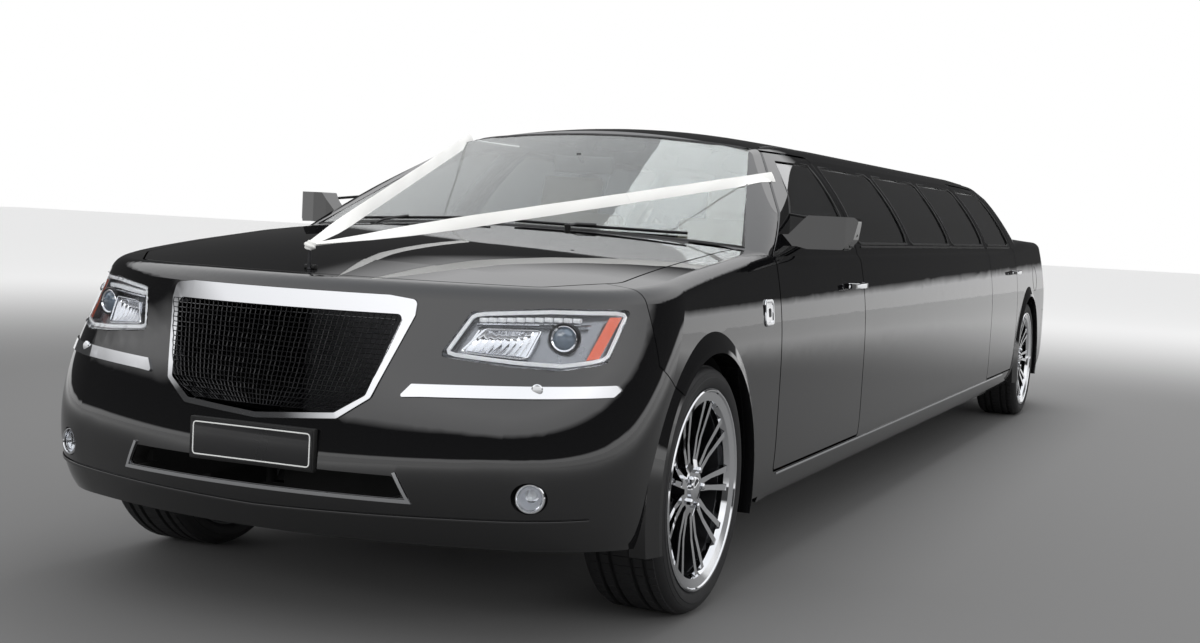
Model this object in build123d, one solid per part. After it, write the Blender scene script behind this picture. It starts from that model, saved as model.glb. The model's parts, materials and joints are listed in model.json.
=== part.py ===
from build123d import *
from math import asin, cos, pi, radians, sin, sqrt, tan
import os

# Stretch limousine, millimetres. It stands on its wheels at Z = 0 and faces -Y, with +X to its left.
# Stations along the car are measured back from the nose: at(v) turns one into Y.

# Driving sizes
STRETCH = 3048.0            # length let in behind the front doors
SALOON_LENGTH = 5044.0      # the saloon that was stretched
SALOON_WHEELBASE = 3052.0
FRONT_OVERHANG = 905.0
LENGTH = SALOON_LENGTH + STRETCH
FRONT_AXLE = FRONT_OVERHANG
REAR_AXLE = FRONT_AXLE + SALOON_WHEELBASE + STRETCH
ROOF_HEIGHT = 1484.0
SKIN = 5.0                  # pressed panels, with their hems
LOWER_WALL = 65.0           # doors and sides below the glass
UPPER_WALL = 38.0           # window frames, pillars and roof
SHUT = 6.0                  # shut line of bonnet and boot lid
DOOR_SHUT = 8.5
SEAT = 0.3                  # clearance of a piece on its seat
GLASS = 5.0
GLASS_DEPTH = 6.0           # side glass below the skin
BELT = 1040.0               # top of the door's lower part
DOOR_LOW = 330.0            # lower edge of the doors
WHEEL_X = 806.0             # middle plane of each tyre
TYRE_R = 358.0
ARCH_R = 396.0
ARCH_FLARE = 17.0
LAMP_DEPTH = 66.0
TOP_ROUND = 58.0            # rounding between the sides and the bonnet and deck


def at(v):
    """Y of a station v behind the nose."""
    return v - LENGTH / 2


# Plan outlines of the lower body, from the sill up. The tail column is measured from the tail.
# z, side, nose, nose bow, nose corner, tail, tail bow, tail corner
LOWER = (
    (235, 896, 100, 1900, 400, 130, 2600, 330),
    (330, 926, 26, 1900, 420, 30, 2600, 330),
    (470, 932, 0, 1900, 420, 0, 2600, 330),
    (660, 934, 42, 1800, 420, 10, 2600, 330),
    (880, 922, 112, 1300, 390, 40, 2400, 320),
    (BELT, 892, 170, 1250, 380, 75, 2200, 300),
    (1180, 850, 240, 1200, 360, 120, 2100, 280),
)
# Plan outlines of the cabin, from inside the lower body to above the roof.
# z, side, screen, screen bow, pillar corner, rear, rear bow, rear corner
CABIN = (
    (900, 902, 960, 1650, 120, 540, 1900, 660),
    (BELT, 880, 1285, 1650, 115, 700, 1900, 640),
    (1180, 812, 1600, 1600, 112, 960, 1900, 480),
    (1300, 725, 1872, 1520, 110, 1140, 1900, 300),
    (1418, 612, 2140, 1440, 110, 1320, 1900, 160),
    (1500, 520, 2330, 1400, 110, 1440, 1900, 130),
)
# Side view of the top surfaces on the centre line: station, height, rounding radius at that point
DECK_LINE = ((-300, 862, 0), (700, 1020, 9000), (1440, 1090, 4000), (3150 + STRETCH, 1098, 10000),
             (4100 + STRETCH, 1150, 6000), (5350 + STRETCH, 1128, 0))
DECK_CROWN = 7100.0
ROOF_LINE = ((600, 1205, 0), (2400, 1479, 3500), (3000, ROOF_HEIGHT, 6000),
             (2900 + STRETCH, ROOF_HEIGHT, 9000), (3660 + STRETCH, 1468, 1500), (4700 + STRETCH, 1240, 0))
ROOF_CROWN = 3050.0
ROOF_SHOULDER = (572.0, 95.0, 36.5)     # half width where the roof rolls over, its radius and end slope


def plan_outline(z, side, nose, bow, corner, tail, tail_bow, tail_corner):
    """Plan face at height z: a bowed nose and tail, rounded corners and straight sides."""

    def half_end(tip, bow_radius, corner_radius, sign):
        """Points from the bow's end, round the corner, to the straight side."""
        middle = side - corner_radius
        station = tip + sign * (bow_radius - sqrt((bow_radius - corner_radius) ** 2 - middle ** 2))
        centre_y = tip + sign * bow_radius
        reach = sqrt(middle ** 2 + (station - centre_y) ** 2)
        ux, uy = middle / reach, (station - centre_y) / reach
        bisect = sqrt((ux + 1) ** 2 + uy ** 2)
        start = (middle + ux * corner_radius, station + uy * corner_radius)
        mid = (middle + (ux + 1) / bisect * corner_radius, station + uy / bisect * corner_radius)
        return start, mid, (side, station)

    def other(point):
        return (-point[0], point[1])

    nose_tip, tail_tip = at(nose), at(LENGTH - tail)
    f1, f2, f3 = half_end(nose_tip, bow, corner, 1)
    r1, r2, r3 = half_end(tail_tip, tail_bow, tail_corner, -1)
    edges = [
        ThreePointArc(other(f1), (0, nose_tip), f1),
        ThreePointArc(f1, f2, f3),
        Line(f3, r3),
        ThreePointArc(r3, r2, r1),
        ThreePointArc(r1, (0, tail_tip), other(r1)),
        ThreePointArc(other(r1), other(r2), other(r3)),
        Line(other(r3), other(f3)),
        ThreePointArc(other(f3), other(f2), other(f1)),
    ]
    return Pos(0, 0, z) * make_face(Wire(edges))


def crowned(line, crown, drop, shoulder=None, half_width=1300.0, depth=1300.0):
    """Solid under a top surface: a crowned section swept along the side-view line.

    shoulder gives the half width at which the crown starts to roll over, the roll's radius and
    the slope at which it ends.
    """
    points = [(0, at(v), z - drop) for v, z, _ in line]
    path = Wire(FilletPolyline(*points, radius=[r for _, _, r in line[1:-1]]).edges())
    edge = -half_width ** 2 / 2 / crown
    right = [(half_width, edge)]
    top = ThreePointArc((-half_width, edge), (0, 0), (half_width, edge))
    curves = [top]
    if shoulder:
        half, radius, slope = shoulder
        start = asin(half / crown)
        z0 = crown * (cos(start) - 1)
        x0, cx, cz = half, half - radius * sin(start), z0 - radius * cos(start)
        mid, end = (start + radians(slope)) / 2, radians(slope)
        p1 = (cx + radius * sin(mid), cz + radius * cos(mid))
        p2 = (cx + radius * sin(end), cz + radius * cos(end))
        out = half_width - p2[0]
        right = [(half_width, p2[1] - out * tan(end))]
        curves = [ThreePointArc((-x0, z0), (0, 0), (x0, z0)), ThreePointArc((x0, z0), p1, p2),
                  Line(p2, right[0]), ThreePointArc((-x0, z0), (-p1[0], p1[1]), (-p2[0], p2[1])),
                  Line((-p2[0], p2[1]), (-right[0][0], right[0][1]))]
    foot = min(right[0][1], 0) - depth
    corner = right[0]
    curves += [Line(corner, (half_width, foot)), Line((half_width, foot), (-half_width, foot)),
               Line((-half_width, foot), (-corner[0], corner[1]))]
    return sweep(Plane(origin=path @ 0, x_dir=(-1, 0, 0), z_dir=path % 0) * make_face(curves), path)


def rim_edges(shape, low):
    """Edges where the upward faces above low meet the rest."""
    faces = shape.faces()
    tops = [f for f in faces if f.normal_at(f.center()).Z > 0.75 and f.center().Z > low]
    sides = [e for f in faces if not any(f.is_same(t) for t in tops) for e in f.edges()]
    return [e for t in tops for e in t.edges() if any(e.is_same(s) for s in sides)]


def lower_form(inset=0.0, rounded=True):
    """Lower body as a solid, its outer surface moved in by inset."""
    sections = []
    for i, (z, side, nose, bow, corner, tail, tail_bow, tail_corner) in enumerate(LOWER):
        level = z - (20 if inset > 0 and i == 0 else 0)
        sections.append(plan_outline(level, side - inset, nose + inset, bow - inset, corner - inset,
                                     tail + inset, tail_bow - inset, tail_corner - inset))
    form = loft(sections) & crowned(DECK_LINE, DECK_CROWN, inset)
    if rounded:
        form = fillet(rim_edges(form, 820), max(TOP_ROUND - inset, 8))
    return form


SIDE_LEAN = 1.2     # horizontal share of an inset on the leaning sides
SCREEN_LEAN = 2.3   # and on the raked screens


def cabin_form(inset=0.0):
    """Cabin as a solid that starts inside the lower body."""
    sections = []
    for i, (z, side, nose, bow, corner, tail, tail_bow, tail_corner) in enumerate(CABIN):
        level = z - (20 if inset > 0 and i == 0 else 0)
        lean = SCREEN_LEAN * inset
        sections.append(plan_outline(level, side - SIDE_LEAN * inset, nose + lean, bow - inset,
                                     corner - inset, tail + lean, tail_bow - inset, tail_corner - inset))
    half, radius, slope = ROOF_SHOULDER
    shoulder = (half, radius - min(inset, radius - 10), slope)
    return loft(sections) & crowned(ROOF_LINE, ROOF_CROWN, inset, shoulder)


# Prisms from side, front and plan views
def side_face(points, radius=0.0):
    """Face in the side view from (station, height) points."""
    face = make_face(Polyline(*[(at(v), z) for v, z in points], close=True))
    return fillet(face.vertices(), radius) if radius else face


def side_prism(face, x0, x1):
    """Side-view face extruded from x0 to x1."""
    return extrude(Plane.YZ.offset(x0) * face, x1 - x0)


def front_face(points, radius=0.0):
    """Face in the front view from (x, height) points."""
    face = make_face(Polyline(*points, close=True))
    return fillet(face.vertices(), radius) if radius else face


def front_prism(face, v0, v1):
    """Front-view face extruded between two stations."""
    plane = Plane(origin=(0, at(v1), 0), x_dir=(1, 0, 0), z_dir=(0, -1, 0))
    return extrude(plane * face, v1 - v0)


def plan_prism(face, z0, z1):
    """Plan face extruded between two heights."""
    return extrude(Pos(0, 0, z0) * face, z1 - z0)


def block(x0, x1, v0, v1, z0, z1):
    """Box by its corners, its ends as stations."""
    return Pos((x0 + x1) / 2, at((v0 + v1) / 2), (z0 + z1) / 2) * Box(x1 - x0, v1 - v0, z1 - z0)


def cross_bar(x0, x1, v, z, radius):
    """Round bar along X."""
    return Pos((x0 + x1) / 2, at(v), z) * Rot(0, 90, 0) * Cylinder(radius, x1 - x0)


def upright(x, v, z0, z1, radius):
    """Round bar along Z."""
    return Pos(x, at(v), (z0 + z1) / 2) * Cylinder(radius, z1 - z0)


def both(shape):
    """A piece and its mirror image."""
    return shape + mirror(shape, Plane.YZ)


def flip(shape):
    """The right-hand copy of a left-hand piece."""
    return mirror(shape, Plane.YZ)


# Forms that the panels are cut from
CABIN_OUTER = cabin_form()
OUTER = lower_form() + CABIN_OUTER
UNDER_SKIN = lower_form(SKIN) + cabin_form(SKIN)
INSIDE = lower_form(LOWER_WALL, False) + cabin_form(UPPER_WALL)
UNDER_LAMPS = lower_form(LAMP_DEPTH, False)
SEATED = lower_form(SKIN + SEAT)
WALL = OUTER - INSIDE
CABIN_WALL = CABIN_OUTER - INSIDE


def arch_ring(axle):
    """Rolled wheel-arch lip, which stands out from both sides."""
    crest = 932 + ARCH_FLARE
    face = make_face(Polyline((880, ARCH_R), (crest, ARCH_R), (crest - 3, ARCH_R + 14),
                              (927, ARCH_R + 66), (880, ARCH_R + 66), close=True))
    ring = revolve(Plane.XY * face, Axis.X)
    ring = Pos(0, at(axle), TYRE_R) * ring
    return both(ring & block(800, 1000, axle - 600, axle + 600, 235, 1400))


def arch_hole(axle, inner):
    """Wheel opening through both sides from inner outwards."""
    return both(cross_bar(inner, 1000, axle, TYRE_R, ARCH_R))


# Door outlines in the side view
FRONT_DOOR_V = 1585.0       # front edge
FRONT_DOOR_END = 2700.0
REAR_DOOR_V = 2592.0 + STRETCH
HINGE_BACK = 80.0           # hinge axis behind the door's front edge
HINGE_X = 906.0
FRAME_TOP = 1392.0
FRONT_DOOR = side_face(((FRONT_DOOR_V, DOOR_LOW), (FRONT_DOOR_END, DOOR_LOW), (FRONT_DOOR_END, BELT),
                        (FRONT_DOOR_END + 80, FRAME_TOP), (2292, FRAME_TOP), (1625, BELT + 8),
                        (FRONT_DOOR_V, BELT - 15)), 12)
FRONT_GLASS = side_face(((1800, 1068), (FRONT_DOOR_END - 52, 1068), (FRONT_DOOR_END + 20, 1364),
                         (2318, 1364)), 14)
REAR_DOOR = side_face(((REAR_DOOR_V, DOOR_LOW), (3410 + STRETCH, DOOR_LOW), (3478 + STRETCH, 420),
                       (3492 + STRETCH, 650), (3482 + STRETCH, BELT), (3400 + STRETCH, FRAME_TOP - 4),
                       (REAR_DOOR_V, FRAME_TOP)), 12)
REAR_GLASS = side_face(((REAR_DOOR_V + 55, 1068), (3420 + STRETCH, 1068), (3352 + STRETCH, 1362),
                        (REAR_DOOR_V + 55, 1364)), 14)
SIDE_PANES = 3
SIDE_GLASS_START = FRONT_DOOR_END + 62
PANE_PILLAR = 56.0


def pane_outlines():
    """Fixed side glass between the doors, one outline for each pane."""
    span = REAR_DOOR_V - 50 - SIDE_GLASS_START
    pitch = (span + PANE_PILLAR) / SIDE_PANES
    lean = 76.0
    faces = []
    for i in range(SIDE_PANES):
        v0 = SIDE_GLASS_START + i * pitch
        v1 = v0 + pitch - PANE_PILLAR
        top0 = v0 + (lean if i == 0 else 0)
        faces.append(side_face(((v0, 1068), (v1, 1068), (v1, 1364), (top0, 1364)), 14))
    return faces


# Front and rear glass in the front view: half widths and heights
SCREEN = ((-812, 1046), (-574, 1404))
SCREEN_MIDDLE = (1080, 1437)
REAR_SCREEN = ((-690, 1152), (-560, 1392))
REAR_MIDDLE = (1170, 1424)
SCREEN_END = 2700.0
REAR_SCREEN_START = 3300.0 + STRETCH


def screen_face(corners, middle, inset=0.0):
    """Front-view glass outline with a bowed foot and head."""
    (x0, z0), (x1, z1) = corners
    x0, x1, z0, z1 = x0 + inset, x1 + inset, z0 + inset, z1 - inset
    foot, head = middle[0] + inset, middle[1] - inset
    return make_face([ThreePointArc((x0, z0), (0, foot), (-x0, z0)), Line((-x0, z0), (-x1, z1)),
                      ThreePointArc((-x1, z1), (0, head), (x1, z1)), Line((x1, z1), (x0, z0))])


def grown(face, amount):
    """Flat face offset outwards, or inwards if negative."""
    return offset(face, amount, kind=Kind.INTERSECTION)


# Bonnet and boot lid in plan
BONNET_FRONT = 188.0
BONNET_REAR = 1325.0
BONNET_SIDE = 792.0
BONNET_SKIN = 18.0
LID_FRONT = 4285.0 + STRETCH
LID_SIDE = 655.0
LID_LOW = 655.0
LID_SKIN = 20.0
LID_GAP = 9.0


def bonnet_plan():
    """Bonnet outline: bowed at both ends, with rounded front corners."""
    front = ThreePointArc((-640, at(350)), (0, at(BONNET_FRONT)), (640, at(350)))
    rear = ThreePointArc((BONNET_SIDE, at(1432)), (0, at(BONNET_REAR)), (-BONNET_SIDE, at(1432)))
    shoulder = (BONNET_SIDE - 12, at(545))
    other = (-shoulder[0], shoulder[1])
    face = make_face([front, Line(front @ 1, shoulder), Line(shoulder, rear @ 0), rear,
                      Line(rear @ 1, other), Line(other, front @ 0)])
    corners = [v for v in face.vertices() if v.Y < at(600)]
    return fillet(corners, 80)


BONNET_PLAN = bonnet_plan()
LID_BOX = block(-LID_SIDE, LID_SIDE, LID_FRONT, LENGTH + 100, LID_LOW, 1400)
LID_HOLE = block(-LID_SIDE - SHUT, LID_SIDE + SHUT, LID_FRONT - LID_GAP, LENGTH + 100, LID_LOW - SHUT, 1400)
BONNET_HOLE = plan_prism(grown(BONNET_PLAN, SHUT), 780, 1300)
SCREEN_FACE = screen_face(SCREEN, SCREEN_MIDDLE)
REAR_SCREEN_FACE = screen_face(REAR_SCREEN, REAR_MIDDLE)
SCREEN_HOLE = front_prism(SCREEN_FACE, 900, SCREEN_END)
REAR_SCREEN_HOLE = front_prism(REAR_SCREEN_FACE, REAR_SCREEN_START, LENGTH)

# Where the bumper covers, fenders and sides meet
FENDER_V = 503.0            # bumper cover to fender, above the step
FENDER_STEP_V = 640.0       # and below it, inside the wheel arch
FENDER_STEP_Z = 650.0
FENDER_END = FRONT_DOOR_V - DOOR_SHUT
TAIL_V = LENGTH - 470.0     # quarter panel to rear bumper cover
TAIL_STEP_Z = 640.0
PANEL_GAP = 3.0

SKINS = OUTER - UNDER_SKIN
FRONT_FLARE = arch_ring(FRONT_AXLE)
REAR_FLARE = arch_ring(REAR_AXLE)
FRONT_ARCH = arch_hole(FRONT_AXLE, 500)
REAR_ARCH = arch_hole(REAR_AXLE, 500)

parts = {}

# Headlamps, fog lamps and grille outlines in the front view
LAMP = front_face(((458, 752), (512, 868), (690, 884), (853, 886), (838, 750), (745, 731), (640, 735)), 11)
FOG_X, FOG_Z, FOG_R = 724.0, 415.0, 40.0
GRILLE = front_face(((-306, 899), (306, 899), (378, 890), (380, 850), (314, 640), (235, 583), (0, 566),
                     (-235, 583), (-314, 640), (-380, 850), (-378, 890)), 16)
GRILLE_INNER = front_face(((-352, 852), (352, 852), (300, 645), (226, 597), (0, 580), (-226, 597),
                           (-300, 645)), 14)
INTAKE = front_face(((-425, 396), (425, 396), (395, 452), (-395, 452)), 10)
NOSE_END = 700.0


def lamp_pair(face, v0, v1):
    """Front prisms of a lamp outline on both sides."""
    return both(front_prism(face, v0, v1))


# Front bumper cover
nose_zone = side_prism(side_face(((-50, 200), (FENDER_STEP_V, 200), (FENDER_STEP_V, FENDER_STEP_Z),
                                  (FENDER_V, FENDER_STEP_Z + 90), (FENDER_V, 1200), (-50, 1200))), -1100, 1100)
fog_holes = both(Pos(FOG_X, at(250), FOG_Z) * Rot(90, 0, 0) * Cylinder(FOG_R + SEAT, 700))
bumper = ((SKINS + FRONT_FLARE) & nose_zone) - BONNET_HOLE - FRONT_ARCH
bumper = bumper - front_prism(GRILLE, -50, NOSE_END) - lamp_pair(LAMP, -50, NOSE_END)
bumper = bumper - fog_holes - front_prism(INTAKE, -50, NOSE_END)
parts["front_bumper"] = bumper

# Front fenders
fender_zone = side_prism(side_face(((FENDER_V + PANEL_GAP, 1300), (FENDER_V + PANEL_GAP, FENDER_STEP_Z + 92),
                                    (FENDER_STEP_V + PANEL_GAP, FENDER_STEP_Z + 2),
                                    (FENDER_STEP_V + PANEL_GAP, 200), (FENDER_END, 200),
                                    (FENDER_END, BELT + 2), (1520, 1150), (1500, 1300))), 600, 1100)
fender = ((SKINS + FRONT_FLARE) & fender_zone) - BONNET_HOLE - FRONT_ARCH - lamp_pair(LAMP, -50, NOSE_END)
fender = fender - cabin_form(-1) - block(-798, 798, 1380, 1700, 900, 1300)
parts["fender_left"] = fender
parts["fender_right"] = flip(fender)

# Body sides: pillars, roof rail, rocker, stretch panel and rear quarter
ROOF_SEAM = 572.0
ROCKER_X = 750.0            # inner face of the rocker and of the hinge pillars
PILLAR_X = 812.0            # outer face of the hinge pillars, clear of the door's swinging front edge
POCKET = 91.0               # room the door's front edge needs round its hinge
COWL_SIDE_V = 1490.0
COWL_SIDE_X, COWL_SIDE_Z = 798.0, 1064.0
QUARTER_V = 3542.0 + STRETCH
FRONT_HINGE_V = FRONT_DOOR_V + HINGE_BACK
REAR_HINGE_V = REAR_DOOR_V + HINGE_BACK
HINGE_HEIGHTS = (440.0, 800.0)
HINGE_PIN_R = 6.0
HINGE_KNUCKLE_R = 13.0
HINGE_KNUCKLE = 50.0        # height of the door's knuckle
RUNNING = 0.5               # clearance round a turning pin
JACK_STATIONS = (1800.0, 3300.0 + STRETCH)
JACK_X, JACK_Z = 835.0, 222.0
JACK_WIDTH, JACK_LENGTH = 60.0, 120.0
TAIL_LAMP = front_face(((668, 742), (884, 752), (900, 985), (700, 1000), (668, 985)), 14)


def hinge_brackets(axis_v):
    """Pins and arms of a door's two hinges, fixed to the hinge pillar."""
    pieces = None
    for z in HINGE_HEIGHTS:
        half = HINGE_KNUCKLE / 2 + RUNNING
        arms = block(PILLAR_X - 8, HINGE_X + 8, axis_v - 9, axis_v + 9, z + half, z + half + 8)
        arms += block(PILLAR_X - 8, HINGE_X + 8, axis_v - 9, axis_v + 9, z - half - 8, z - half)
        bracket = arms + upright(HINGE_X, axis_v, z - half - 4, z + half + 4, HINGE_PIN_R)
        pieces = bracket if pieces is None else pieces + bracket
    return pieces


def hinge_knuckles(axis_v):
    """The door's halves of its hinges."""
    pieces = []
    for z in HINGE_HEIGHTS:
        low, high = z - HINGE_KNUCKLE / 2, z + HINGE_KNUCKLE / 2
        knuckle = upright(HINGE_X, axis_v, low, high, HINGE_KNUCKLE_R)
        knuckle += block(HINGE_X - 8, HINGE_X + 8, axis_v, axis_v + 40, low, high)
        pieces.append(knuckle - upright(HINGE_X, axis_v, low - 1, high + 1, HINGE_PIN_R + RUNNING))
    return pieces


def body_side():
    """Left body side in one piece."""
    zone = side_prism(side_face(((FENDER_END, 200), (TAIL_V, 200), (TAIL_V, TAIL_STEP_Z + 9),
                                 (LENGTH + 50, TAIL_STEP_Z + 9), (LENGTH + 50, 1600),
                                 (FENDER_END, 1600))), 0, 1100)
    side = (zone & WALL) - (UNDER_SKIN & block(0, 1000, QUARTER_V, LENGTH, 200, 1100))
    side = side + (block(0, 1100, 1100, FENDER_END + 200, 1010, 1600) & CABIN_WALL)
    side = side - block(-1, ROOF_SEAM, 1100, LENGTH, 1290, 1600) - block(-1, 640, 1100, LENGTH, 900, 1290)
    side = side - block(-1, COWL_SIDE_X + 1, 1100, COWL_SIDE_V - 3, 900, COWL_SIDE_Z)
    side = side - LID_HOLE - SCREEN_HOLE - REAR_SCREEN_HOLE
    for face in (FRONT_DOOR, REAR_DOOR):
        side = side - side_prism(grown(face, DOOR_SHUT), 450, 1100)
    for face in pane_outlines():
        side = side - side_prism(face, 450, 1100)
    # room for the rear door's front edge behind the stretch panel's skin
    side = side - (UNDER_SKIN & block(500, 1100, REAR_HINGE_V - POCKET, REAR_DOOR_V, DOOR_LOW - 8, 1110))
    rocker = OUTER & block(ROCKER_X, 1000, FENDER_END, QUARTER_V - 20, 235, DOOR_LOW - DOOR_SHUT)
    side = side + rocker
    side = side + (SEATED & block(ROCKER_X, 1000, COWL_SIDE_V, FRONT_HINGE_V - POCKET, 235, 1035))
    side = side + block(ROCKER_X, PILLAR_X, COWL_SIDE_V, FRONT_HINGE_V + 10, 240, 1028)
    side = side + block(ROCKER_X, PILLAR_X, REAR_HINGE_V - 150, REAR_HINGE_V + 10, 240, 1028)
    side = side + block(ROCKER_X, 872, REAR_HINGE_V - 150, REAR_HINGE_V - POCKET - 4, 240, 1035)
    side = side + hinge_brackets(FRONT_HINGE_V) + hinge_brackets(REAR_HINGE_V)
    for v in JACK_STATIONS:
        side = side + block(JACK_X - JACK_WIDTH / 2, JACK_X + JACK_WIDTH / 2, v - JACK_LENGTH / 2,
                            v + JACK_LENGTH / 2, JACK_Z, 245)
    side = side + (REAR_FLARE & block(0, 1100, REAR_AXLE - 600, REAR_AXLE + 600, 200, 1400))
    side = side - REAR_ARCH - lamp_pair(TAIL_LAMP, LENGTH - 560, LENGTH + 50)
    return side


parts["body_side_left"] = body_side()
parts["body_side_right"] = flip(parts["body_side_left"])

# Roof, deck and glass
roof = CABIN_WALL & block(-ROOF_SEAM + SEAT, ROOF_SEAM - SEAT, 1100, LENGTH, 1290, 1600)
parts["roof_panel"] = roof - SCREEN_HOLE - REAR_SCREEN_HOLE
SEAM = 640.0                # cowl and rear deck meet the body sides here
LID_PIVOT_V, LID_PIVOT_Z, LID_ARM_X = LID_FRONT - 120, 1101.0, 562.0
deck = WALL & block(-SEAM + SEAT, SEAM - SEAT, 3900 + STRETCH, LENGTH, 1085, 1290)
deck = deck - (UNDER_SKIN & block(-SEAM - 1, SEAM + 1, LID_PIVOT_V - 25, LENGTH, 900, 1290))
lid_bracket = block(LID_ARM_X - 14, LID_ARM_X - 8, LID_PIVOT_V - 18, LID_PIVOT_V + 14,
                    LID_PIVOT_Z - 12, 1290) & OUTER
lid_pin = cross_bar(LID_ARM_X - 12, LID_ARM_X + 8, LID_PIVOT_V, LID_PIVOT_Z, HINGE_PIN_R)
parts["rear_deck"] = deck - LID_HOLE - REAR_SCREEN_HOLE + both(lid_bracket + lid_pin)
SCREEN_SLAB = cabin_form(1) - cabin_form(1 + GLASS)
parts["windscreen"] = SCREEN_SLAB & front_prism(screen_face(SCREEN, SCREEN_MIDDLE, SEAT), 900, SCREEN_END)
parts["rear_window"] = SCREEN_SLAB & front_prism(screen_face(REAR_SCREEN, REAR_MIDDLE, SEAT),
                                                 REAR_SCREEN_START, LENGTH)
SIDE_SLAB = cabin_form(GLASS_DEPTH) - cabin_form(GLASS_DEPTH + GLASS)


def side_pane(face):
    """Left-hand pane of side glass that fills a window outline."""
    return SIDE_SLAB & side_prism(grown(face, -SEAT), 450, 1100)


panes = [side_pane(face) for face in pane_outlines()]
parts["fixed_side_glass"] = Compound(panes + [flip(pane) for pane in panes])

# Rear bumper cover
tail_zone = block(-1100, 1100, TAIL_V + PANEL_GAP, LENGTH + 50, 200, TAIL_STEP_Z + 6)
parts["rear_bumper"] = SKINS & tail_zone

# Doors: a thin overhanging skin round a thick inner frame
DOOR_X = 590.0
FLANGE = 16.0               # the inner frame stops this far inside the skin's edge
HANDLE_LENGTH = 205.0
# plan view of the door mirror as x and station, and its front view as x and height
MIRROR_PLAN = ((840, 1742), (925, 1744), (990, 1759), (1065, 1798), (1096, 1842), (1096, 1894),
               (1060, 1902), (985, 1884), (925, 1832), (840, 1806))
MIRROR_FRONT = ((840, 1058), (915, 1060), (950, 1052), (1058, 1054), (1086, 1088), (1097, 1152),
                (1086, 1164), (948, 1164), (918, 1132), (886, 1098), (840, 1096))
MIRROR_ROUND = 9.0


def mirror_housing():
    """Left door mirror: foot and swept-back housing."""
    plan = make_face(Polyline(*[(x, at(v)) for x, v in MIRROR_PLAN], close=True))
    plan = fillet(plan.vertices(), MIRROR_ROUND)
    housing = plan_prism(plan, 1040, 1180) & front_prism(front_face(MIRROR_FRONT, MIRROR_ROUND), 1700, 1950)
    return housing - cabin_form(2)


def door(outline, glass, axis_v, handle_v, with_mirror):
    """Left door with its window frame, hinge knuckles and handle."""
    flange = SKINS & side_prism(outline, DOOR_X, 1100)
    core = (side_prism(grown(outline, -FLANGE), DOOR_X, 1100) & UNDER_SKIN) - INSIDE
    core = core - block(450, 1100, axis_v - 300, axis_v + 20, 200, BELT + 20)
    result = flange + core - side_prism(glass, 450, 1100)
    for knuckle in hinge_knuckles(axis_v):
        result = result + knuckle
    grip = block(912, 953, handle_v - HANDLE_LENGTH / 2, handle_v + HANDLE_LENGTH / 2, 903, 922)
    grip = fillet(grip.edges().filter_by(Axis.Z).group_by(Axis.X)[-1], 14)
    result = result + (grip - block(925, 942, handle_v - 76, handle_v + 76, 890, 940))
    if with_mirror:
        result = result + mirror_housing()
    return result


# name, outline, glass, hinge station, handle station, mirror
DOORS = (("front", FRONT_DOOR, FRONT_GLASS, FRONT_HINGE_V, 2535, True),
         ("rear", REAR_DOOR, REAR_GLASS, REAR_HINGE_V, 3370 + STRETCH, False))
for name, outline, glass, axis_v, handle_v, with_mirror in DOORS:
    parts["door_" + name + "_left"] = door(outline, glass, axis_v, handle_v, with_mirror)
    parts["door_" + name + "_right"] = flip(parts["door_" + name + "_left"])
    parts["glass_" + name + "_left"] = side_pane(glass)
    parts["glass_" + name + "_right"] = flip(parts["glass_" + name + "_left"])

# Bonnet, cowl and boot lid
BONNET_PIVOT_V, BONNET_PIVOT_Z, BONNET_ARM_X = 1445.0, 1026.0, 735.0
EYE_R = 12.0                # eyes of the bonnet's and boot lid's arms
ARM_HALF, PIN_HALF = 14.0, 20.0


def bonnet_bar(half, radius):
    """Round bar on the bonnet's pivot line, across its left arm."""
    return cross_bar(BONNET_ARM_X - half, BONNET_ARM_X + half, BONNET_PIVOT_V, BONNET_PIVOT_Z, radius)


bonnet = (plan_prism(BONNET_PLAN, 780, 1300) & OUTER) - lower_form(BONNET_SKIN)
bonnet_arm = block(BONNET_ARM_X - ARM_HALF, BONNET_ARM_X + ARM_HALF, 1380, BONNET_PIVOT_V,
                   BONNET_PIVOT_Z - 8, BONNET_PIVOT_Z + EYE_R)
bonnet_arm = bonnet_arm + bonnet_bar(ARM_HALF, EYE_R)
bonnet_arm = bonnet_arm - bonnet_bar(PIN_HALF, HINGE_PIN_R + RUNNING)
parts["bonnet"] = bonnet + both(bonnet_arm)

TRAY_DEPTH, TRAY_THICK = 45.0, 10.0
TRAY_X, TRAY_END = COWL_SIDE_X - SEAT, COWL_SIDE_V - 4
tray_face = make_face([ThreePointArc((-TRAY_X, at(1440)), (0, at(1345)), (TRAY_X, at(1440))),
                       Line((TRAY_X, at(1440)), (TRAY_X, at(TRAY_END))),
                       Line((TRAY_X, at(TRAY_END)), (-TRAY_X, at(TRAY_END))),
                       Line((-TRAY_X, at(TRAY_END)), (-TRAY_X, at(1440)))])
tray = plan_prism(tray_face, 900, 1300) & lower_form(TRAY_DEPTH, False)
tray = tray - lower_form(TRAY_DEPTH + TRAY_THICK, False)
strip = CABIN_WALL & block(-SEAM + SEAT, SEAM - SEAT, 1200, 1800, 1010, 1290)
cowl = tray + (strip - SCREEN_HOLE)
for x in (BONNET_ARM_X - 22, BONNET_ARM_X + 16):
    cowl = cowl + both(block(x, x + 6, BONNET_PIVOT_V - 14, BONNET_PIVOT_V + 14, 998, BONNET_PIVOT_Z + 11))
parts["cowl_panel"] = cowl + both(bonnet_bar(PIN_HALF, HINGE_PIN_R))

lid = (LID_BOX & OUTER) - lower_form(LID_SKIN)
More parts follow.
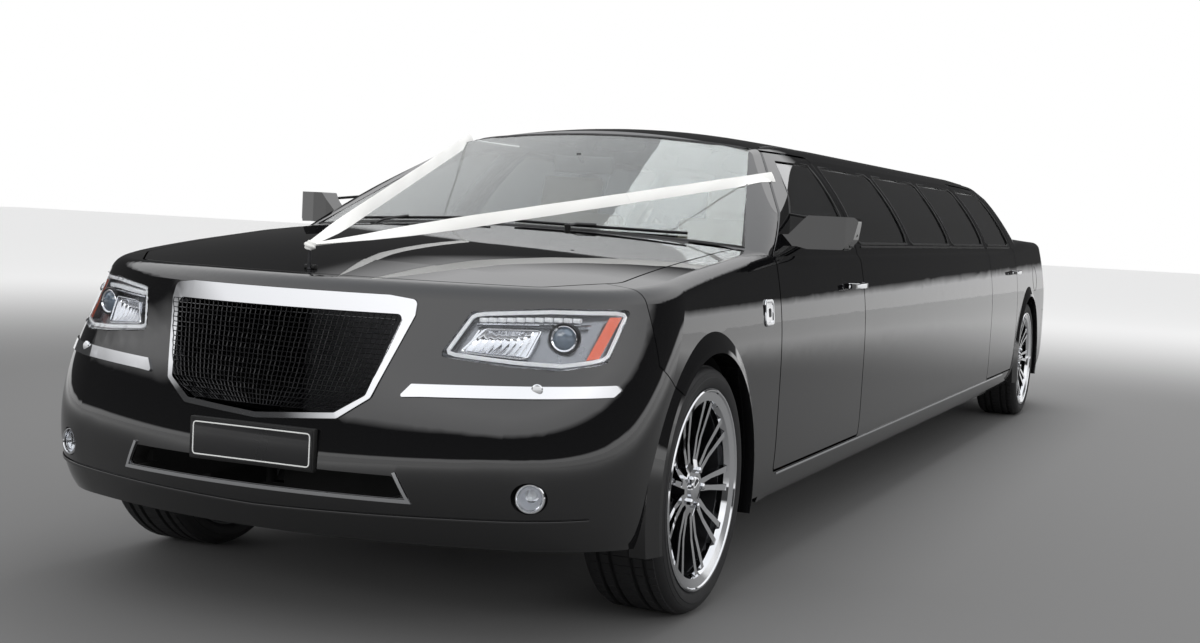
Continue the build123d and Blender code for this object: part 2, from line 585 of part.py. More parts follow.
# side view of the gooseneck, from the pivot: station and height
GOOSENECK = ((0, 0), (10, -125), (135, -125), (150, 12))
neck = None
for start, end in zip(GOOSENECK[:-1], GOOSENECK[1:]):
    length = sqrt((end[0] - start[0]) ** 2 + (end[1] - start[1]) ** 2)
    direction = (0, end[0] - start[0], end[1] - start[1])
    origin = (LID_ARM_X, at(LID_PIVOT_V + start[0]), LID_PIVOT_Z + start[1])
    leg = extrude(Plane(origin=origin, x_dir=(1, 0, 0), z_dir=direction) * Rectangle(12, 14), length + 6)
    neck = leg if neck is None else neck + leg
neck = neck + cross_bar(LID_ARM_X - 6, LID_ARM_X + 6, LID_PIVOT_V, LID_PIVOT_Z, EYE_R)
neck = neck - cross_bar(LID_ARM_X - 10, LID_ARM_X + 10, LID_PIVOT_V, LID_PIVOT_Z, HINGE_PIN_R + RUNNING)
parts["boot_lid"] = lid + both(neck)

# Lamps, grille and bright trim
parts["tail_lamps"] = (lamp_pair(grown(TAIL_LAMP, -SEAT), LENGTH - 560, LENGTH + 50) & OUTER) - UNDER_LAMPS
fog_face = Pos(FOG_X, FOG_Z) * Circle(FOG_R)
lamps = lamp_pair(grown(LAMP, -SEAT), -50, NOSE_END) + lamp_pair(fog_face, -50, 560)
parts["headlamps"] = (lamps & OUTER) - UNDER_LAMPS
GRILLE_PROUD, GRILLE_DEPTH = 6.0, 34.0
grille_frame = front_prism(grown(GRILLE, -SEAT), -50, NOSE_END)
grille_frame = grille_frame - front_prism(GRILLE_INNER, -60, NOSE_END + 10)
grille_frame = grille_frame & lower_form(-GRILLE_PROUD, False)
parts["grille_surround"] = grille_frame - lower_form(GRILLE_DEPTH, False)
MESH_ROWS, MESH_COLUMNS, MESH_BAR = 10, 16, 5.0


def mesh_face(x0, x1, z0, z1, rows, columns, bar):
    """Front view of a grid of bars."""
    pitch_x, pitch_z = (x1 - x0) / columns, (z1 - z0) / rows
    hole = Rectangle(pitch_x - bar, pitch_z - bar)
    holes = [Pos(x0 + (i + 0.5) * pitch_x, z0 + (j + 0.5) * pitch_z) * hole
             for i in range(columns) for j in range(rows)]
    return Pos((x0 + x1) / 2, (z0 + z1) / 2) * Rectangle(x1 - x0, z1 - z0) - holes


def nose_slab(low, high, width, bow, thick):
    """Bowed slab that follows the nose between two (station, height) points on its front face."""
    (v0, z0), (v1, z1) = low, high
    sag = width ** 2 / 2 / bow
    front = ThreePointArc((-width, sag), (0, 0), (width, sag))
    back = ThreePointArc((width, sag + thick), (0, thick), (-width, sag + thick))
    band = make_face([front, Line(front @ 1, back @ 0), back, Line(back @ 1, front @ 0)])
    plane = Plane(origin=(0, at(v0), z0), x_dir=(1, 0, 0), z_dir=(0, v1 - v0, z1 - z0))
    return extrude(plane * band, sqrt((v1 - v0) ** 2 + (z1 - z0) ** 2))


# mesh slabs: low and high points of the front face, half width and bow
MESH_THICK = 9.0
grille_slab = nose_slab((26, 560), (122, 880), 372, 1560, MESH_THICK)
intake_slab = nose_slab((16, 380), (10, 470), 432, 1900, MESH_THICK)
grille_grid = mesh_face(-356, 356, 576, 856, MESH_ROWS, MESH_COLUMNS, MESH_BAR) & grown(GRILLE_INNER, -SEAT)
intake_grid = mesh_face(-426, 426, 394, 454, 2, 18, MESH_BAR) & grown(INTAKE, -SEAT)
parts["grille_mesh"] = (grille_slab & front_prism(grille_grid, -50, NOSE_END)) + (
    intake_slab & front_prism(intake_grid, -50, NOSE_END))

TRIM = 5.0
# front views of the bright strips on the bumper covers
FRONT_STRIP = ((384, 648), (410, 682), (868, 697), (878, 684), (868, 668), (440, 652))
INTAKE_LINE = ((-444, 384), (444, 384), (404, 463), (396, 460), (430, 394), (-430, 394), (-396, 460),
               (-404, 463))
REAR_STRIP = ((-905, 560), (905, 560), (905, 584), (-905, 584))
trim = lamp_pair(front_face(FRONT_STRIP, 5), -50, 480) + front_prism(front_face(INTAKE_LINE), -50, 420)
trim = trim + front_prism(front_face(REAR_STRIP), TAIL_V + 60, LENGTH + 50)
parts["chrome_trim"] = (trim & lower_form(-TRIM, False)) - lower_form(-SEAT, False)

# Wheels: turned profiles as distance outboard of the wheel's middle and radius
RIM_OUTER = ((-118, 292), (-108, 292), (-108, 272), (-86, 272), (-80, 262), (80, 262), (86, 272),
             (108, 272), (108, 292), (118, 292), (118, 286), (110, 256), (94, 248), (-94, 248),
             (-110, 256), (-118, 286))
RIM_DISH = ((40, 0), (88, 0), (88, 60), (82, 84), (86, 150), (104, 254), (80, 254), (60, 150), (50, 84),
            (40, 62))
TYRE_PROFILE = ((-107.5, 272.3), (-107.5, 293), (-121, 305), (-125, 322), (-119, 342), (-100, 355),
                (-60, 358), (60, 358), (100, 355), (119, 342), (125, 322), (121, 305), (107.5, 293),
                (107.5, 272.3), (92, 272.3), (92, 296), (108, 312), (108, 328), (92, 343), (-92, 343),
                (-108, 328), (-108, 312), (-92, 296), (-92, 272.3))
SPOKES = 9
SPOKE_SPREAD = 6.5          # degrees of each twin to either side
DISC_R, DISC_IN, DISC_OUT = 165.0, -38.0, -14.0
SPINDLE_R = 30.0
BORE_END = 38.0


def turned(profile):
    """Solid of revolution about the wheel's axis, X."""
    return revolve(Plane.XY * make_face(Polyline(*profile, close=True)), Axis.X)


def spoke_pattern():
    """Side view of the spokes and the hub."""
    face = Pos(0, 0) * Circle(70)
    for i in range(SPOKES):
        for side in (-1, 1):
            turn = 360.0 / SPOKES * i + side * SPOKE_SPREAD
            blade = Polyline((40, -10), (150, -7.5), (256, -9.5), (256, 9.5), (150, 7.5), (40, 10), close=True)
            face = face + Rot(0, 0, turn) * make_face(blade)
    return face


def rim():
    """Left wheel with its brake disc, about the origin."""
    spokes = extrude(Plane.YZ.offset(30) * spoke_pattern(), 90) & turned(RIM_DISH)
    disc = turned(((DISC_IN, 0), (DISC_IN, DISC_R), (DISC_OUT, DISC_R), (DISC_OUT, 70), (70, 62), (70, 0)))
    bore_r = SPINDLE_R + RUNNING
    bore = turned(((DISC_IN - 1, 0), (DISC_IN - 1, bore_r), (BORE_END, bore_r), (BORE_END, 0)))
    return turned(RIM_OUTER) + spokes + disc - bore


RIM = rim()
TYRE = turned(TYRE_PROFILE)
for name, axle in (("front", FRONT_AXLE), ("rear", REAR_AXLE)):
    place = Pos(WHEEL_X, at(axle), TYRE_R)
    parts["rim_" + name + "_left"] = place * RIM
    parts["rim_" + name + "_right"] = flip(place * RIM)
    parts["tyre_" + name + "_left"] = place * TYRE
    parts["tyre_" + name + "_right"] = flip(place * TYRE)

# Front suspension
KINGPIN_X = 745.0
KINGPIN_R = 8.0
LOWER_EYE, UPPER_EYE = 215.0, 512.0
EYE_HALF = 8.0
RAIL_IN, RAIL_OUT = 400.0, 470.0


def caliper(v):
    """Left brake caliper of the axle at station v, open to its disc."""
    body = block(742, 806, v + 100, v + 178, TYRE_R - 62, TYRE_R + 62)
    return body - cross_bar(WHEEL_X + DISC_IN - 6, WHEEL_X + DISC_OUT + 6, v, TYRE_R, DISC_R + 6)


def knuckle():
    """Left steering knuckle with spindle, kingpins and brake caliper."""
    v, z = FRONT_AXLE, TYRE_R
    shape = block(724, 759, v - 30, v + 30, LOWER_EYE + EYE_HALF + 8, UPPER_EYE - EYE_HALF - 8)
    shape = shape + cross_bar(750, WHEEL_X + BORE_END - 2, v, z, SPINDLE_R) + cross_bar(735, 760, v, z, 58)
    shape = shape + upright(KINGPIN_X, v, LOWER_EYE - EYE_HALF - 4, UPPER_EYE + EYE_HALF + 4, KINGPIN_R)
    shape = shape + block(742, 758, v, v + 120, z - 30, z + 30)
    return shape + caliper(v)


parts["knuckle_left"] = knuckle()
parts["knuckle_right"] = flip(parts["knuckle_left"])


def front_arms():
    """Left wishbones, damper and their mounts."""
    v = FRONT_AXLE
    hole = upright(KINGPIN_X, v, 150, 600, KINGPIN_R + RUNNING)
    lower = block(380, 735, v - 20, v + 20, LOWER_EYE - EYE_HALF, LOWER_EYE + EYE_HALF)
    lower = lower + upright(KINGPIN_X, v, LOWER_EYE - EYE_HALF, LOWER_EYE + EYE_HALF, 20) - hole
    upper = block(440, 735, v - 14, v + 14, UPPER_EYE - EYE_HALF, UPPER_EYE + EYE_HALF)
    upper = upper + upright(KINGPIN_X, v, UPPER_EYE - EYE_HALF, UPPER_EYE + EYE_HALF, 20) - hole
    tower = block(430, 480, v - 45, v + 45, 430 + SEAT, 560)
    damper = upright(560, v, LOWER_EYE, 640, 27)
    mount = block(500 + SEAT, 590, v - 35, v + 35, 632, 646)
    return lower + upper + tower + damper + mount


member = block(-RAIL_OUT, RAIL_OUT, FRONT_AXLE - 45, FRONT_AXLE + 45, 205, 296)
member = member + both(block(RAIL_IN + 5, RAIL_OUT - 5, FRONT_AXLE - 45, FRONT_AXLE + 45, 290, 330 - SEAT))
parts["front_subframe"] = member + both(front_arms())

# Floor pan: front rails, firewall, cabin floor, wheelhouses and the front bumper's carriers
FLOOR_LOW, FLOOR_TOP = 240.0, 262.0
RAIL_LOW = 190.0
RAIL_FRONT = 115.0          # the front rails meet the bumper's carrier here
PLATE = 12.0                # bulkheads and the raised floor
SPLIT_V = 6588.0            # cabin floor to rear floor
STEP_V = SPLIT_V + PLATE
DECK_FLOOR = 545.0
HOUSE_WALL = 6.0
HOUSE_IN = 500.0            # inner face of the wheel opening
CARRIER_DEPTH = 80.0
CARRIER_FORM = lower_form(CARRIER_DEPTH, False)
UNDER_TRAY = lower_form(TRAY_DEPTH + TRAY_THICK + SEAT, False)


def rails(v0, v1, z0, z1):
    """Both frame rails between two stations and heights."""
    return both(block(RAIL_IN, RAIL_OUT, v0, v1, z0, z1))


def wheelhouse(axle, opening_top):
    """Both wheelhouses of an axle, open to the axle or arms below opening_top."""
    house = cross_bar(HOUSE_IN - HOUSE_WALL, 1000, axle, TYRE_R, ARCH_R + HOUSE_WALL)
    house = house - cross_bar(HOUSE_IN, 1001, axle, TYRE_R, ARCH_R)
    house = house & block(HOUSE_IN - 10, 880 - SEAT, axle - 600, axle + 600, FLOOR_LOW, 1000)
    house = house - block(480, 510, axle - 110, axle + 110, 150, opening_top)
    return both(house & SEATED)


pan = block(-ROCKER_X + SEAT, ROCKER_X - SEAT, 1470, SPLIT_V - SEAT, FLOOR_LOW, FLOOR_TOP)
pan = pan + (UNDER_TRAY & block(-774, 774, 1472, 1488, FLOOR_LOW, 1080))
pan = pan + rails(RAIL_FRONT, 1480, 330, 430) + rails(1400, 1490, RAIL_LOW, 430)
pan = pan + rails(1400, SPLIT_V - SEAT, RAIL_LOW, FLOOR_LOW + 5)
foot_room = both(block(480, 1000, FRONT_AXLE + 380, FRONT_AXLE + 600, 200, 330))
pan = pan + (wheelhouse(FRONT_AXLE, 580) - foot_room)
for v in (560, 1200):
    pan = pan + both(block(RAIL_OUT - 5, HOUSE_IN - 4, v, v + 60, 340, 420))
carrier_face = front_face(((390, 300), (455, 300), (455, 700), (860, 700), (860, 729), (500, 729),
                           (455, 742), (455, 880), (390, 880)))
carrier = (lamp_pair(carrier_face, -50, 560) & SEATED) - CARRIER_FORM
for outline in (grown(GRILLE, SEAT), grown(INTAKE, SEAT)):
    carrier = carrier - front_prism(outline, -60, 600)
parts["floor_pan"] = pan + (carrier - lamp_pair(grown(LAMP, SEAT), -60, 600))

# Rear floor: raised floor, seat bulkhead, wheelhouses and the carriers of rear bumper and lamps
REAR_RAIL_LOW = 470.0
REAR_RAIL_END = TAIL_V + 300
rear = block(-HOUSE_IN, HOUSE_IN, SPLIT_V, STEP_V, FLOOR_LOW, DECK_FLOOR + PLATE)
rear = rear + block(-HOUSE_IN, HOUSE_IN, SPLIT_V, REAR_RAIL_END, DECK_FLOOR, DECK_FLOOR + PLATE)
side_plates = both(block(HOUSE_IN - 10, HOUSE_IN, SPLIT_V, TAIL_V + 180, FLOOR_LOW, DECK_FLOOR + PLATE))
rear = rear + (side_plates - both(block(480, 510, REAR_AXLE - 110, REAR_AXLE + 110, 150, 420)))
rear = rear + (INSIDE & block(-490, 490, 6900, 6900 + PLATE, DECK_FLOOR, 1060))
rear = rear + rails(SPLIT_V, STEP_V + 60, RAIL_LOW, DECK_FLOOR + 5)
rear = rear + rails(SPLIT_V, REAR_RAIL_END, REAR_RAIL_LOW, DECK_FLOOR + 5) + wheelhouse(REAR_AXLE, 420)
shelf = (block(-880, 880, TAIL_V + 20, LENGTH, 440, 560) & SEATED) - CARRIER_FORM
rear = rear + shelf + (block(-860, 860, TAIL_V + 170, REAR_RAIL_END, 552, 552 + PLATE) & SEATED)
lamp_backs = both(block(668, 900, TAIL_V + 20, LENGTH, 550, 990)) & lower_form(LAMP_DEPTH + SEAT, False)
parts["rear_floor"] = rear + (lamp_backs - CARRIER_FORM)

# Engine and driveline as plain masses
PIPE_END = 7960.0


def long_bar(x, v0, v1, z, radius):
    """Round bar along the car."""
    return Pos(x, at((v0 + v1) / 2), z) * Rot(90, 0, 0) * Cylinder(radius, v1 - v0)


engine = fillet(block(-230, 230, 560, 1180, 400, 860).edges(), 40) + block(-160, 160, 620, 1150, 340, 420)
engine = engine + block(-130, 130, 1150, 1470, 330, 600)
engine = engine + block(-RAIL_IN + SEAT, RAIL_IN - SEAT, 840, 920, 430, 470)
parts["engine_block"] = engine
axle_tube = cross_bar(-705, 705, REAR_AXLE, TYRE_R, 45)
axle = axle_tube + Pos(0, at(REAR_AXLE), TYRE_R) * Sphere(120)
axle = axle + both(cross_bar(690, WHEEL_X + BORE_END - 2, REAR_AXLE, TYRE_R, SPINDLE_R))
axle = axle + both(upright(435, REAR_AXLE, TYRE_R, REAR_RAIL_LOW - SEAT, 52))
axle = axle + both(block(420, 450, STEP_V + 60 + SEAT, REAR_AXLE, 318, 352))
holder = block(700, 758, REAR_AXLE - 20, REAR_AXLE + 130, TYRE_R - 30, TYRE_R + 30)
axle = axle + both(caliper(REAR_AXLE) + holder)
axle = axle + long_bar(0, 1480, REAR_AXLE, 200, 32)
axle = axle + block(-60, 60, REAR_AXLE - 60, REAR_AXLE + 40, 168, 300)
parts["rear_axle"] = axle + block(-40, 40, 1490, 1560, 200, FLOOR_LOW - SEAT)
pipe = long_bar(340, 1600, PIPE_END, 196, 26) + fillet(block(250, 390, 3200, 3900, 150, 225).edges(), 25)
for v in (2000, 6400):
    pipe = pipe + block(330, RAIL_IN - SEAT, v, v + 40, 196, 214)
parts["exhaust_system"] = both(pipe)

# Interior
dash = block(-744, 744, 1488 + SEAT, 1840, 640, 985)
dash = fillet(dash.edges().filter_by(Axis.X), 55)
dash = dash + block(-150, 150, 1488 + SEAT, 1900, FLOOR_TOP + SEAT, 700)
WHEEL_DRIVER_X, WHEEL_V, WHEEL_Z, WHEEL_TILT = -370.0, 1990.0, 860.0, 25.0
column = Plane(origin=(WHEEL_DRIVER_X, at(WHEEL_V), WHEEL_Z), x_dir=(1, 0, 0),
               z_dir=(0, cos(radians(WHEEL_TILT)), sin(radians(WHEEL_TILT))))
shroud = extrude(column.offset(-240) * Circle(38), 190) - extrude(column.offset(-130) * Circle(16), 100)
parts["dashboard"] = dash + shroud
wheel = column * Torus(186, 13) + extrude(column.offset(-44) * Circle(46), 40)
wheel = wheel + extrude(column.offset(-120) * Circle(15), 90)
for turn in (0, 180, 270):
    wheel = wheel + column * Rot(0, 0, turn) * Pos(108, 0, -12) * Box(150, 30, 14)
parts["steering_wheel"] = wheel


def cushion(x0, x1, v0, v1, z0, z1, radius=45.0):
    """Upholstered block with rounded edges."""
    return fillet(block(x0, x1, v0, v1, z0, z1).edges(), radius)


def front_seat(x):
    """Driver's or passenger's seat on its base."""
    seat = block(x - 200, x + 200, 2180, 2560, FLOOR_TOP + SEAT, 420)
    seat = seat + cushion(x - 260, x + 260, 2110, 2640, 390, 560)
    back = Pos(x, at(2680), 840) * Rot(-16, 0, 0) * fillet(Box(500, 130, 620).edges(), 45)
    head = Pos(x, at(2765), 1205) * Rot(-16, 0, 0) * fillet(Box(270, 100, 160).edges(), 40)
    return seat + back + head


parts["front_seats"] = front_seat(370) + front_seat(-370)
BASE_X = ROCKER_X - 4       # bases of the lounge furniture stand between the rockers
bench = block(-700, 700, 6090, 6520, FLOOR_TOP + SEAT, 430) + cushion(-710, 710, 6040, 6560, 400, 615)
bench = bench + Pos(0, at(6640), 835) * Rot(-14, 0, 0) * fillet(Box(960, 150, 500).edges(), 50)
side_bench = block(-BASE_X, -330, 3150, 5450, FLOOR_TOP + SEAT, 420)
side_bench = side_bench + cushion(-790, -300, 3120, 5480, 390, 560)
side_bench = side_bench + cushion(-800, -680, 3120, 5480, 540, 930)
parts["lounge_seats"] = bench + side_bench
bar = fillet(block(430, BASE_X, 3300, 5300, FLOOR_TOP + SEAT, 830).edges().filter_by(Axis.Z), 60)
parts["bar_cabinet"] = bar - block(400, 680, 3500, 5100, 560, 800)

# Ribbons from a hook on the nose to the screen pillars, each a taut band in two lengths
RIBBON_START = (0.0, 235.0, 1010.0)
RIBBON_ENDS = ((716.0, 2105.0, 1299.0), (-608.0, 2300.0, 1413.0))
RIBBON_WIDTH, RIBBON_THICK = 38.0, 1.6
RIBBON_SPLIT_V = 1330.0
RIBBON_GAP = 50.0           # room for the end on the bonnet as that opens


def ribbon(end, v0, v1):
    """Band towards one of the ends, between two stations."""
    (xs, vs, zs), (xe, ve, ze) = RIBBON_START, end
    points = []
    for v in (v0, v1):
        t = (v - vs) / (ve - vs)
        points.append((xs + (xe - xs) * t, at(v), zs + (ze - zs) * t))
    start, end = points
    direction = tuple(b - a for a, b in zip(start, end))
    length = sqrt(sum(d * d for d in direction))
    plane = Plane(origin=start, x_dir=(direction[1], -direction[0], 0), z_dir=direction)
    return extrude(plane * Rectangle(RIBBON_WIDTH, RIBBON_THICK), length)


hook = block(-20, 20, 214, 250, 900, 1022) - lower_form(-SEAT, False)
hook = fillet(hook.edges().filter_by(Axis.Y), 6)
on_bonnet = [ribbon(end, RIBBON_START[1] + 1, RIBBON_SPLIT_V) for end in RIBBON_ENDS]
parts["ribbon_bonnet"] = hook + on_bonnet[0] + on_bonnet[1]
on_screen = [ribbon(end, RIBBON_SPLIT_V + RIBBON_GAP, end[1] - 4) - cabin_form(-SEAT)
             for end in RIBBON_ENDS]
parts["ribbon_screen"] = Compound([piece.solid() for piece in on_screen])

os.makedirs("parts", exist_ok=True)
for name, shape in parts.items():
    export_step(shape, "parts/" + name + ".step")
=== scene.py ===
import json
import logging
from collections.abc import Callable, Sequence
from dataclasses import dataclass
from enum import Enum
from math import copysign, cos, pi, radians, sin

import bpy
from mathutils import Matrix, Vector
from mathutils.bvhtree import BVHTree


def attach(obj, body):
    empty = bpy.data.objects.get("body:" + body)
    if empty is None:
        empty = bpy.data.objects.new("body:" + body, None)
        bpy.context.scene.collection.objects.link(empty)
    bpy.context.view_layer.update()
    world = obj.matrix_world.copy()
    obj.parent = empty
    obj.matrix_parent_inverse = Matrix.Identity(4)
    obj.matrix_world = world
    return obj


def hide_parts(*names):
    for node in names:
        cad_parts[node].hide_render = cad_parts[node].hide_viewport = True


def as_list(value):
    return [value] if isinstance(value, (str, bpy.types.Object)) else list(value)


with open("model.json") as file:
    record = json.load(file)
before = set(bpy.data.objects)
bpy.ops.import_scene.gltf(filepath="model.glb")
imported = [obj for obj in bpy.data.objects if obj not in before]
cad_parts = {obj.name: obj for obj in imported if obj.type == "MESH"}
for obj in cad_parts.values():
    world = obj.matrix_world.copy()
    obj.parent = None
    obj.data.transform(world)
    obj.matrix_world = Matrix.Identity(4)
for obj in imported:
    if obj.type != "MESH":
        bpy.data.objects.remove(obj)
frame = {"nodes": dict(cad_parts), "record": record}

LOG = logging.getLogger("limousine")
MM = 0.001
LENGTH = 8.092                                  # metres, nose to tail
STRETCH = 3.048                                 # metres of body let in behind the front doors
AXLES = (("front", 0.905), ("rear", 7.005))     # stations are metres behind the nose
WHEEL_X = 0.806
WHEEL_Z = 0.358
ROUND_STEPS = 72                                # faces round a tyre and round the trim of a wheel

AHEAD = (0.0, -1.0, 0.0)
BACK = (0.0, 1.0, 0.0)
LEFT = (1.0, 0.0, 0.0)
RIGHT = (-1.0, 0.0, 0.0)
UP = (0.0, 0.0, 1.0)
DOWN = (0.0, 0.0, -1.0)

Pair = tuple[float, float]
Triple = tuple[float, float, float]
Rule = Callable[[float, float], Vector]
Piece = bpy.types.Object


def at(station: float) -> float:
    """Y of a station measured back from the nose, in metres."""
    return station - LENGTH / 2


def along(points: Sequence[Sequence[float]], share: float) -> Vector:
    """Point at a share of a broken line's length.

    Args:
        points: corners of the line, in any number of dimensions.
        share: 0 at the first corner and 1 at the last.

    Returns:
        The point as a vector.
    """
    corners = [Vector(point) for point in points]
    lengths = [(b - a).length for a, b in zip(corners, corners[1:])]
    left = share * sum(lengths)
    for start, end, length in zip(corners, corners[1:], lengths):
        if left <= length:
            return start.lerp(end, left / length)
        left -= length
    return corners[-1]


def round_corners(points: Sequence[Pair], radius: float, steps: int = 4) -> list[Pair]:
    """Closed outline with each corner rounded.

    Args:
        points: corners of the outline.
        radius: distance from a corner at which its rounding starts.
        steps: points in each rounding, less one.

    Returns:
        The points of the rounded outline, in the same order.
    """
    rounded = []
    for i, corner in enumerate(points):
        here = Vector(corner)
        before, after = Vector(points[i - 1]), Vector(points[(i + 1) % len(points)])
        start = here + (before - here).normalized() * min(radius, (before - here).length / 2)
        end = here + (after - here).normalized() * min(radius, (after - here).length / 2)
        for step in range(steps + 1):
            t = step / steps
            rounded.append(tuple(start * (1 - t) ** 2 + here * (2 * t * (1 - t)) + end * t ** 2))
    return rounded


def rounded_box(low: Pair, high: Pair, radius: float) -> list[Pair]:
    """Outline of a box with rounded corners, given its lowest and highest corner."""
    return round_corners([low, (high[0], low[1]), high, (low[0], high[1])], radius)


def spaced(points: Sequence[Pair], spacing: float) -> list[Vector]:
    """Points at an even spacing round a closed outline.

    Args:
        points: corners of the outline.
        spacing: wanted distance between points.

    Returns:
        The points, with the first one not repeated at the end.
    """
    line = [*points, points[0]]
    total = sum((Vector(b) - Vector(a)).length for a, b in zip(line, line[1:]))
    count = max(int(round(total / spacing)), 2)
    return [along(line, i / count) for i in range(count)]


@dataclass
class Tree:
    """Shader nodes of a material or of the surround.

    Args:
        nodes: the nodes.
        links: the links between them.
    """

    nodes: bpy.types.Nodes
    links: bpy.types.NodeLinks

    @classmethod
    def of(cls, owner: bpy.types.Material | bpy.types.World) -> "Tree":
        """Takes up the nodes of a material or world."""
        owner.use_nodes = True
        return cls(owner.node_tree.nodes, owner.node_tree.links)

    @staticmethod
    def fill(node: bpy.types.Node, values: dict) -> bpy.types.Node:
        """Sets some of a node's inputs.

        Args:
            node: the node.
            values: value of each input, by its name or number.

        Returns:
            The same node.
        """
        for socket, value in values.items():
            node.inputs[socket].default_value = value
        return node

    def add(self, kind: str, **values: float | Triple) -> bpy.types.Node:
        """Adds a node and sets some of its inputs.

        Args:
            kind: kind of the node.
            values: value of each input, with _ for a space in its name.

        Returns:
            The node.
        """
        node = self.nodes.new(f"ShaderNode{kind}")
        return self.fill(node, {key.replace("_", " "): value for key, value in values.items()})

    def join(self, start: bpy.types.NodeSocket, end: bpy.types.NodeSocket) -> None:
        """Links two sockets."""
        self.links.new(start, end)


class Grain(Enum):
    """Fine relief or variation that a finish carries."""

    PLAIN = "plain"
    PEEL = "peel"
    BRUSHED = "brushed"
    CAST = "cast"
    HIDE = "hide"
    MOULDED = "moulded"
    WOOD = "wood"
    WEAVE = "weave"
    RUBBER = "rubber"
    RIBBED = "ribbed"


STRETCHED = {Grain.BRUSHED: (0.02, 1.0, 1.0), Grain.WOOD: (1.0, 0.12, 1.0)}
RELIEF_DEPTH = 0.0004                           # metres


@dataclass(frozen=True)
class Finish:
    """One surface finish, made as a node material.

    Args:
        name: name of the material.
        colour: base colour, linear RGB.
        roughness: roughness of the surface.
        metallic: 1 for bare metal, 0 otherwise.
        coat: weight of a clear coat.
        coat_ior: index of refraction of the coat.
        specular: level of the reflection under the coat.
        grain: fine relief that the surface carries.
        relief: strength of that relief.
        scale: size of the relief's pattern, larger is finer.
        transmission: share of light that passes through.
        ior: index of refraction.
        sheen: weight of a cloth's sheen.
        vary: how much the roughness varies over the surface.
        second: second colour of a two-colour grain.
        glow: strength of the light that the surface gives off, a painted glow on lamp parts that are not
            lit.
    """

    name: str
    colour: Triple
    roughness: float = 0.4
    metallic: float = 0.0
    coat: float = 0.0
    coat_ior: float = 1.5
    specular: float = 0.5
    grain: Grain = Grain.PLAIN
    relief: float = 0.1
    scale: float = 200.0
    transmission: float = 0.0
    ior: float = 1.5
    sheen: float = 0.0
    vary: float = 0.0
    second: Triple | None = None
    glow: float = 0.0

    def build(self) -> bpy.types.Material:
        """Makes the material, or returns it if it is already made.

        Returns:
            The node material.
        """
        title = f"{self.name}_finish"
        made = bpy.data.materials.get(title)
        if made:
            return made
        material = bpy.data.materials.new(title)
        tree = Tree.of(material)
        shader = tree.fill(tree.nodes["Principled BSDF"], {
            "Base Color": (*self.colour, 1.0), "Roughness": self.roughness, "Metallic": self.metallic,
            "Coat Weight": self.coat, "Coat Roughness": 0.015, "Coat IOR": self.coat_ior,
            "Specular IOR Level": self.specular, "Transmission Weight": self.transmission, "IOR": self.ior,
            "Sheen Weight": self.sheen, "Emission Color": (*self.colour, 1.0),
            "Emission Strength": self.glow})
        place = tree.add("TexCoord").outputs["Object"]
        if self.vary > 0:
            self._vary_roughness(tree, shader, place)
        if self.grain is not Grain.PLAIN:
            self._add_relief(tree, shader, place)
        return material

    def _vary_roughness(self, tree: Tree, shader: bpy.types.Node, place: bpy.types.NodeSocket) -> None:
        """Lets dust and wiping marks change the roughness softly.

        Args:
            tree: the material's nodes.
            shader: the surface shader.
            place: socket with the point's place.
        """
        noise = tree.add("TexNoise", Scale=9.0, Detail=6.0)
        tree.join(place, noise.inputs["Vector"])
        ramp = tree.add("MapRange", From_Min=0.35, From_Max=0.75, To_Max=self.roughness + self.vary,
                        To_Min=max(self.roughness - self.vary / 2, 0.0))
        tree.join(noise.outputs["Fac"], ramp.inputs["Value"])
        tree.join(ramp.outputs["Result"], shader.inputs["Roughness"])

    def _add_relief(self, tree: Tree, shader: bpy.types.Node, place: bpy.types.NodeSocket) -> None:
        """Adds the grain as a bump, and as a second colour where the finish has one.

        Args:
            tree: the material's nodes.
            shader: the surface shader.
            place: socket with the point's place.
        """
        mapping = tree.add("Mapping", Scale=STRETCHED.get(self.grain, (1.0, 1.0, 1.0)))
        tree.join(place, mapping.inputs["Vector"])
        if self.grain in (Grain.HIDE, Grain.CAST):
            pattern = tree.add("TexVoronoi")
            pattern.feature = "SMOOTH_F1"
        elif self.grain in (Grain.WEAVE, Grain.WOOD, Grain.RIBBED):
            pattern = tree.add("TexWave", Distortion=6.0 if self.grain is Grain.WOOD else 0.0, Detail=3.0)
        else:
            pattern = tree.add("TexNoise", Detail=3.0)
        height = pattern.outputs.get("Fac") or pattern.outputs["Distance"]
        pattern.inputs["Scale"].default_value = self.scale
        tree.join(mapping.outputs["Vector"], pattern.inputs["Vector"])
        bump = tree.add("Bump", Strength=self.relief, Distance=RELIEF_DEPTH)
        tree.join(height, bump.inputs["Height"])
        tree.join(bump.outputs["Normal"], shader.inputs["Normal"])
        if self.grain is Grain.PEEL:
            tree.join(bump.outputs["Normal"], shader.inputs["Coat Normal"])
        if self.second:
            blend = tree.add("Mix")
            blend.data_type = "RGBA"
            tree.fill(blend, {6: (*self.colour, 1.0), 7: (*self.second, 1.0)})
            tree.join(height, blend.inputs[0])
            tree.join(blend.outputs[2], shader.inputs["Base Color"])


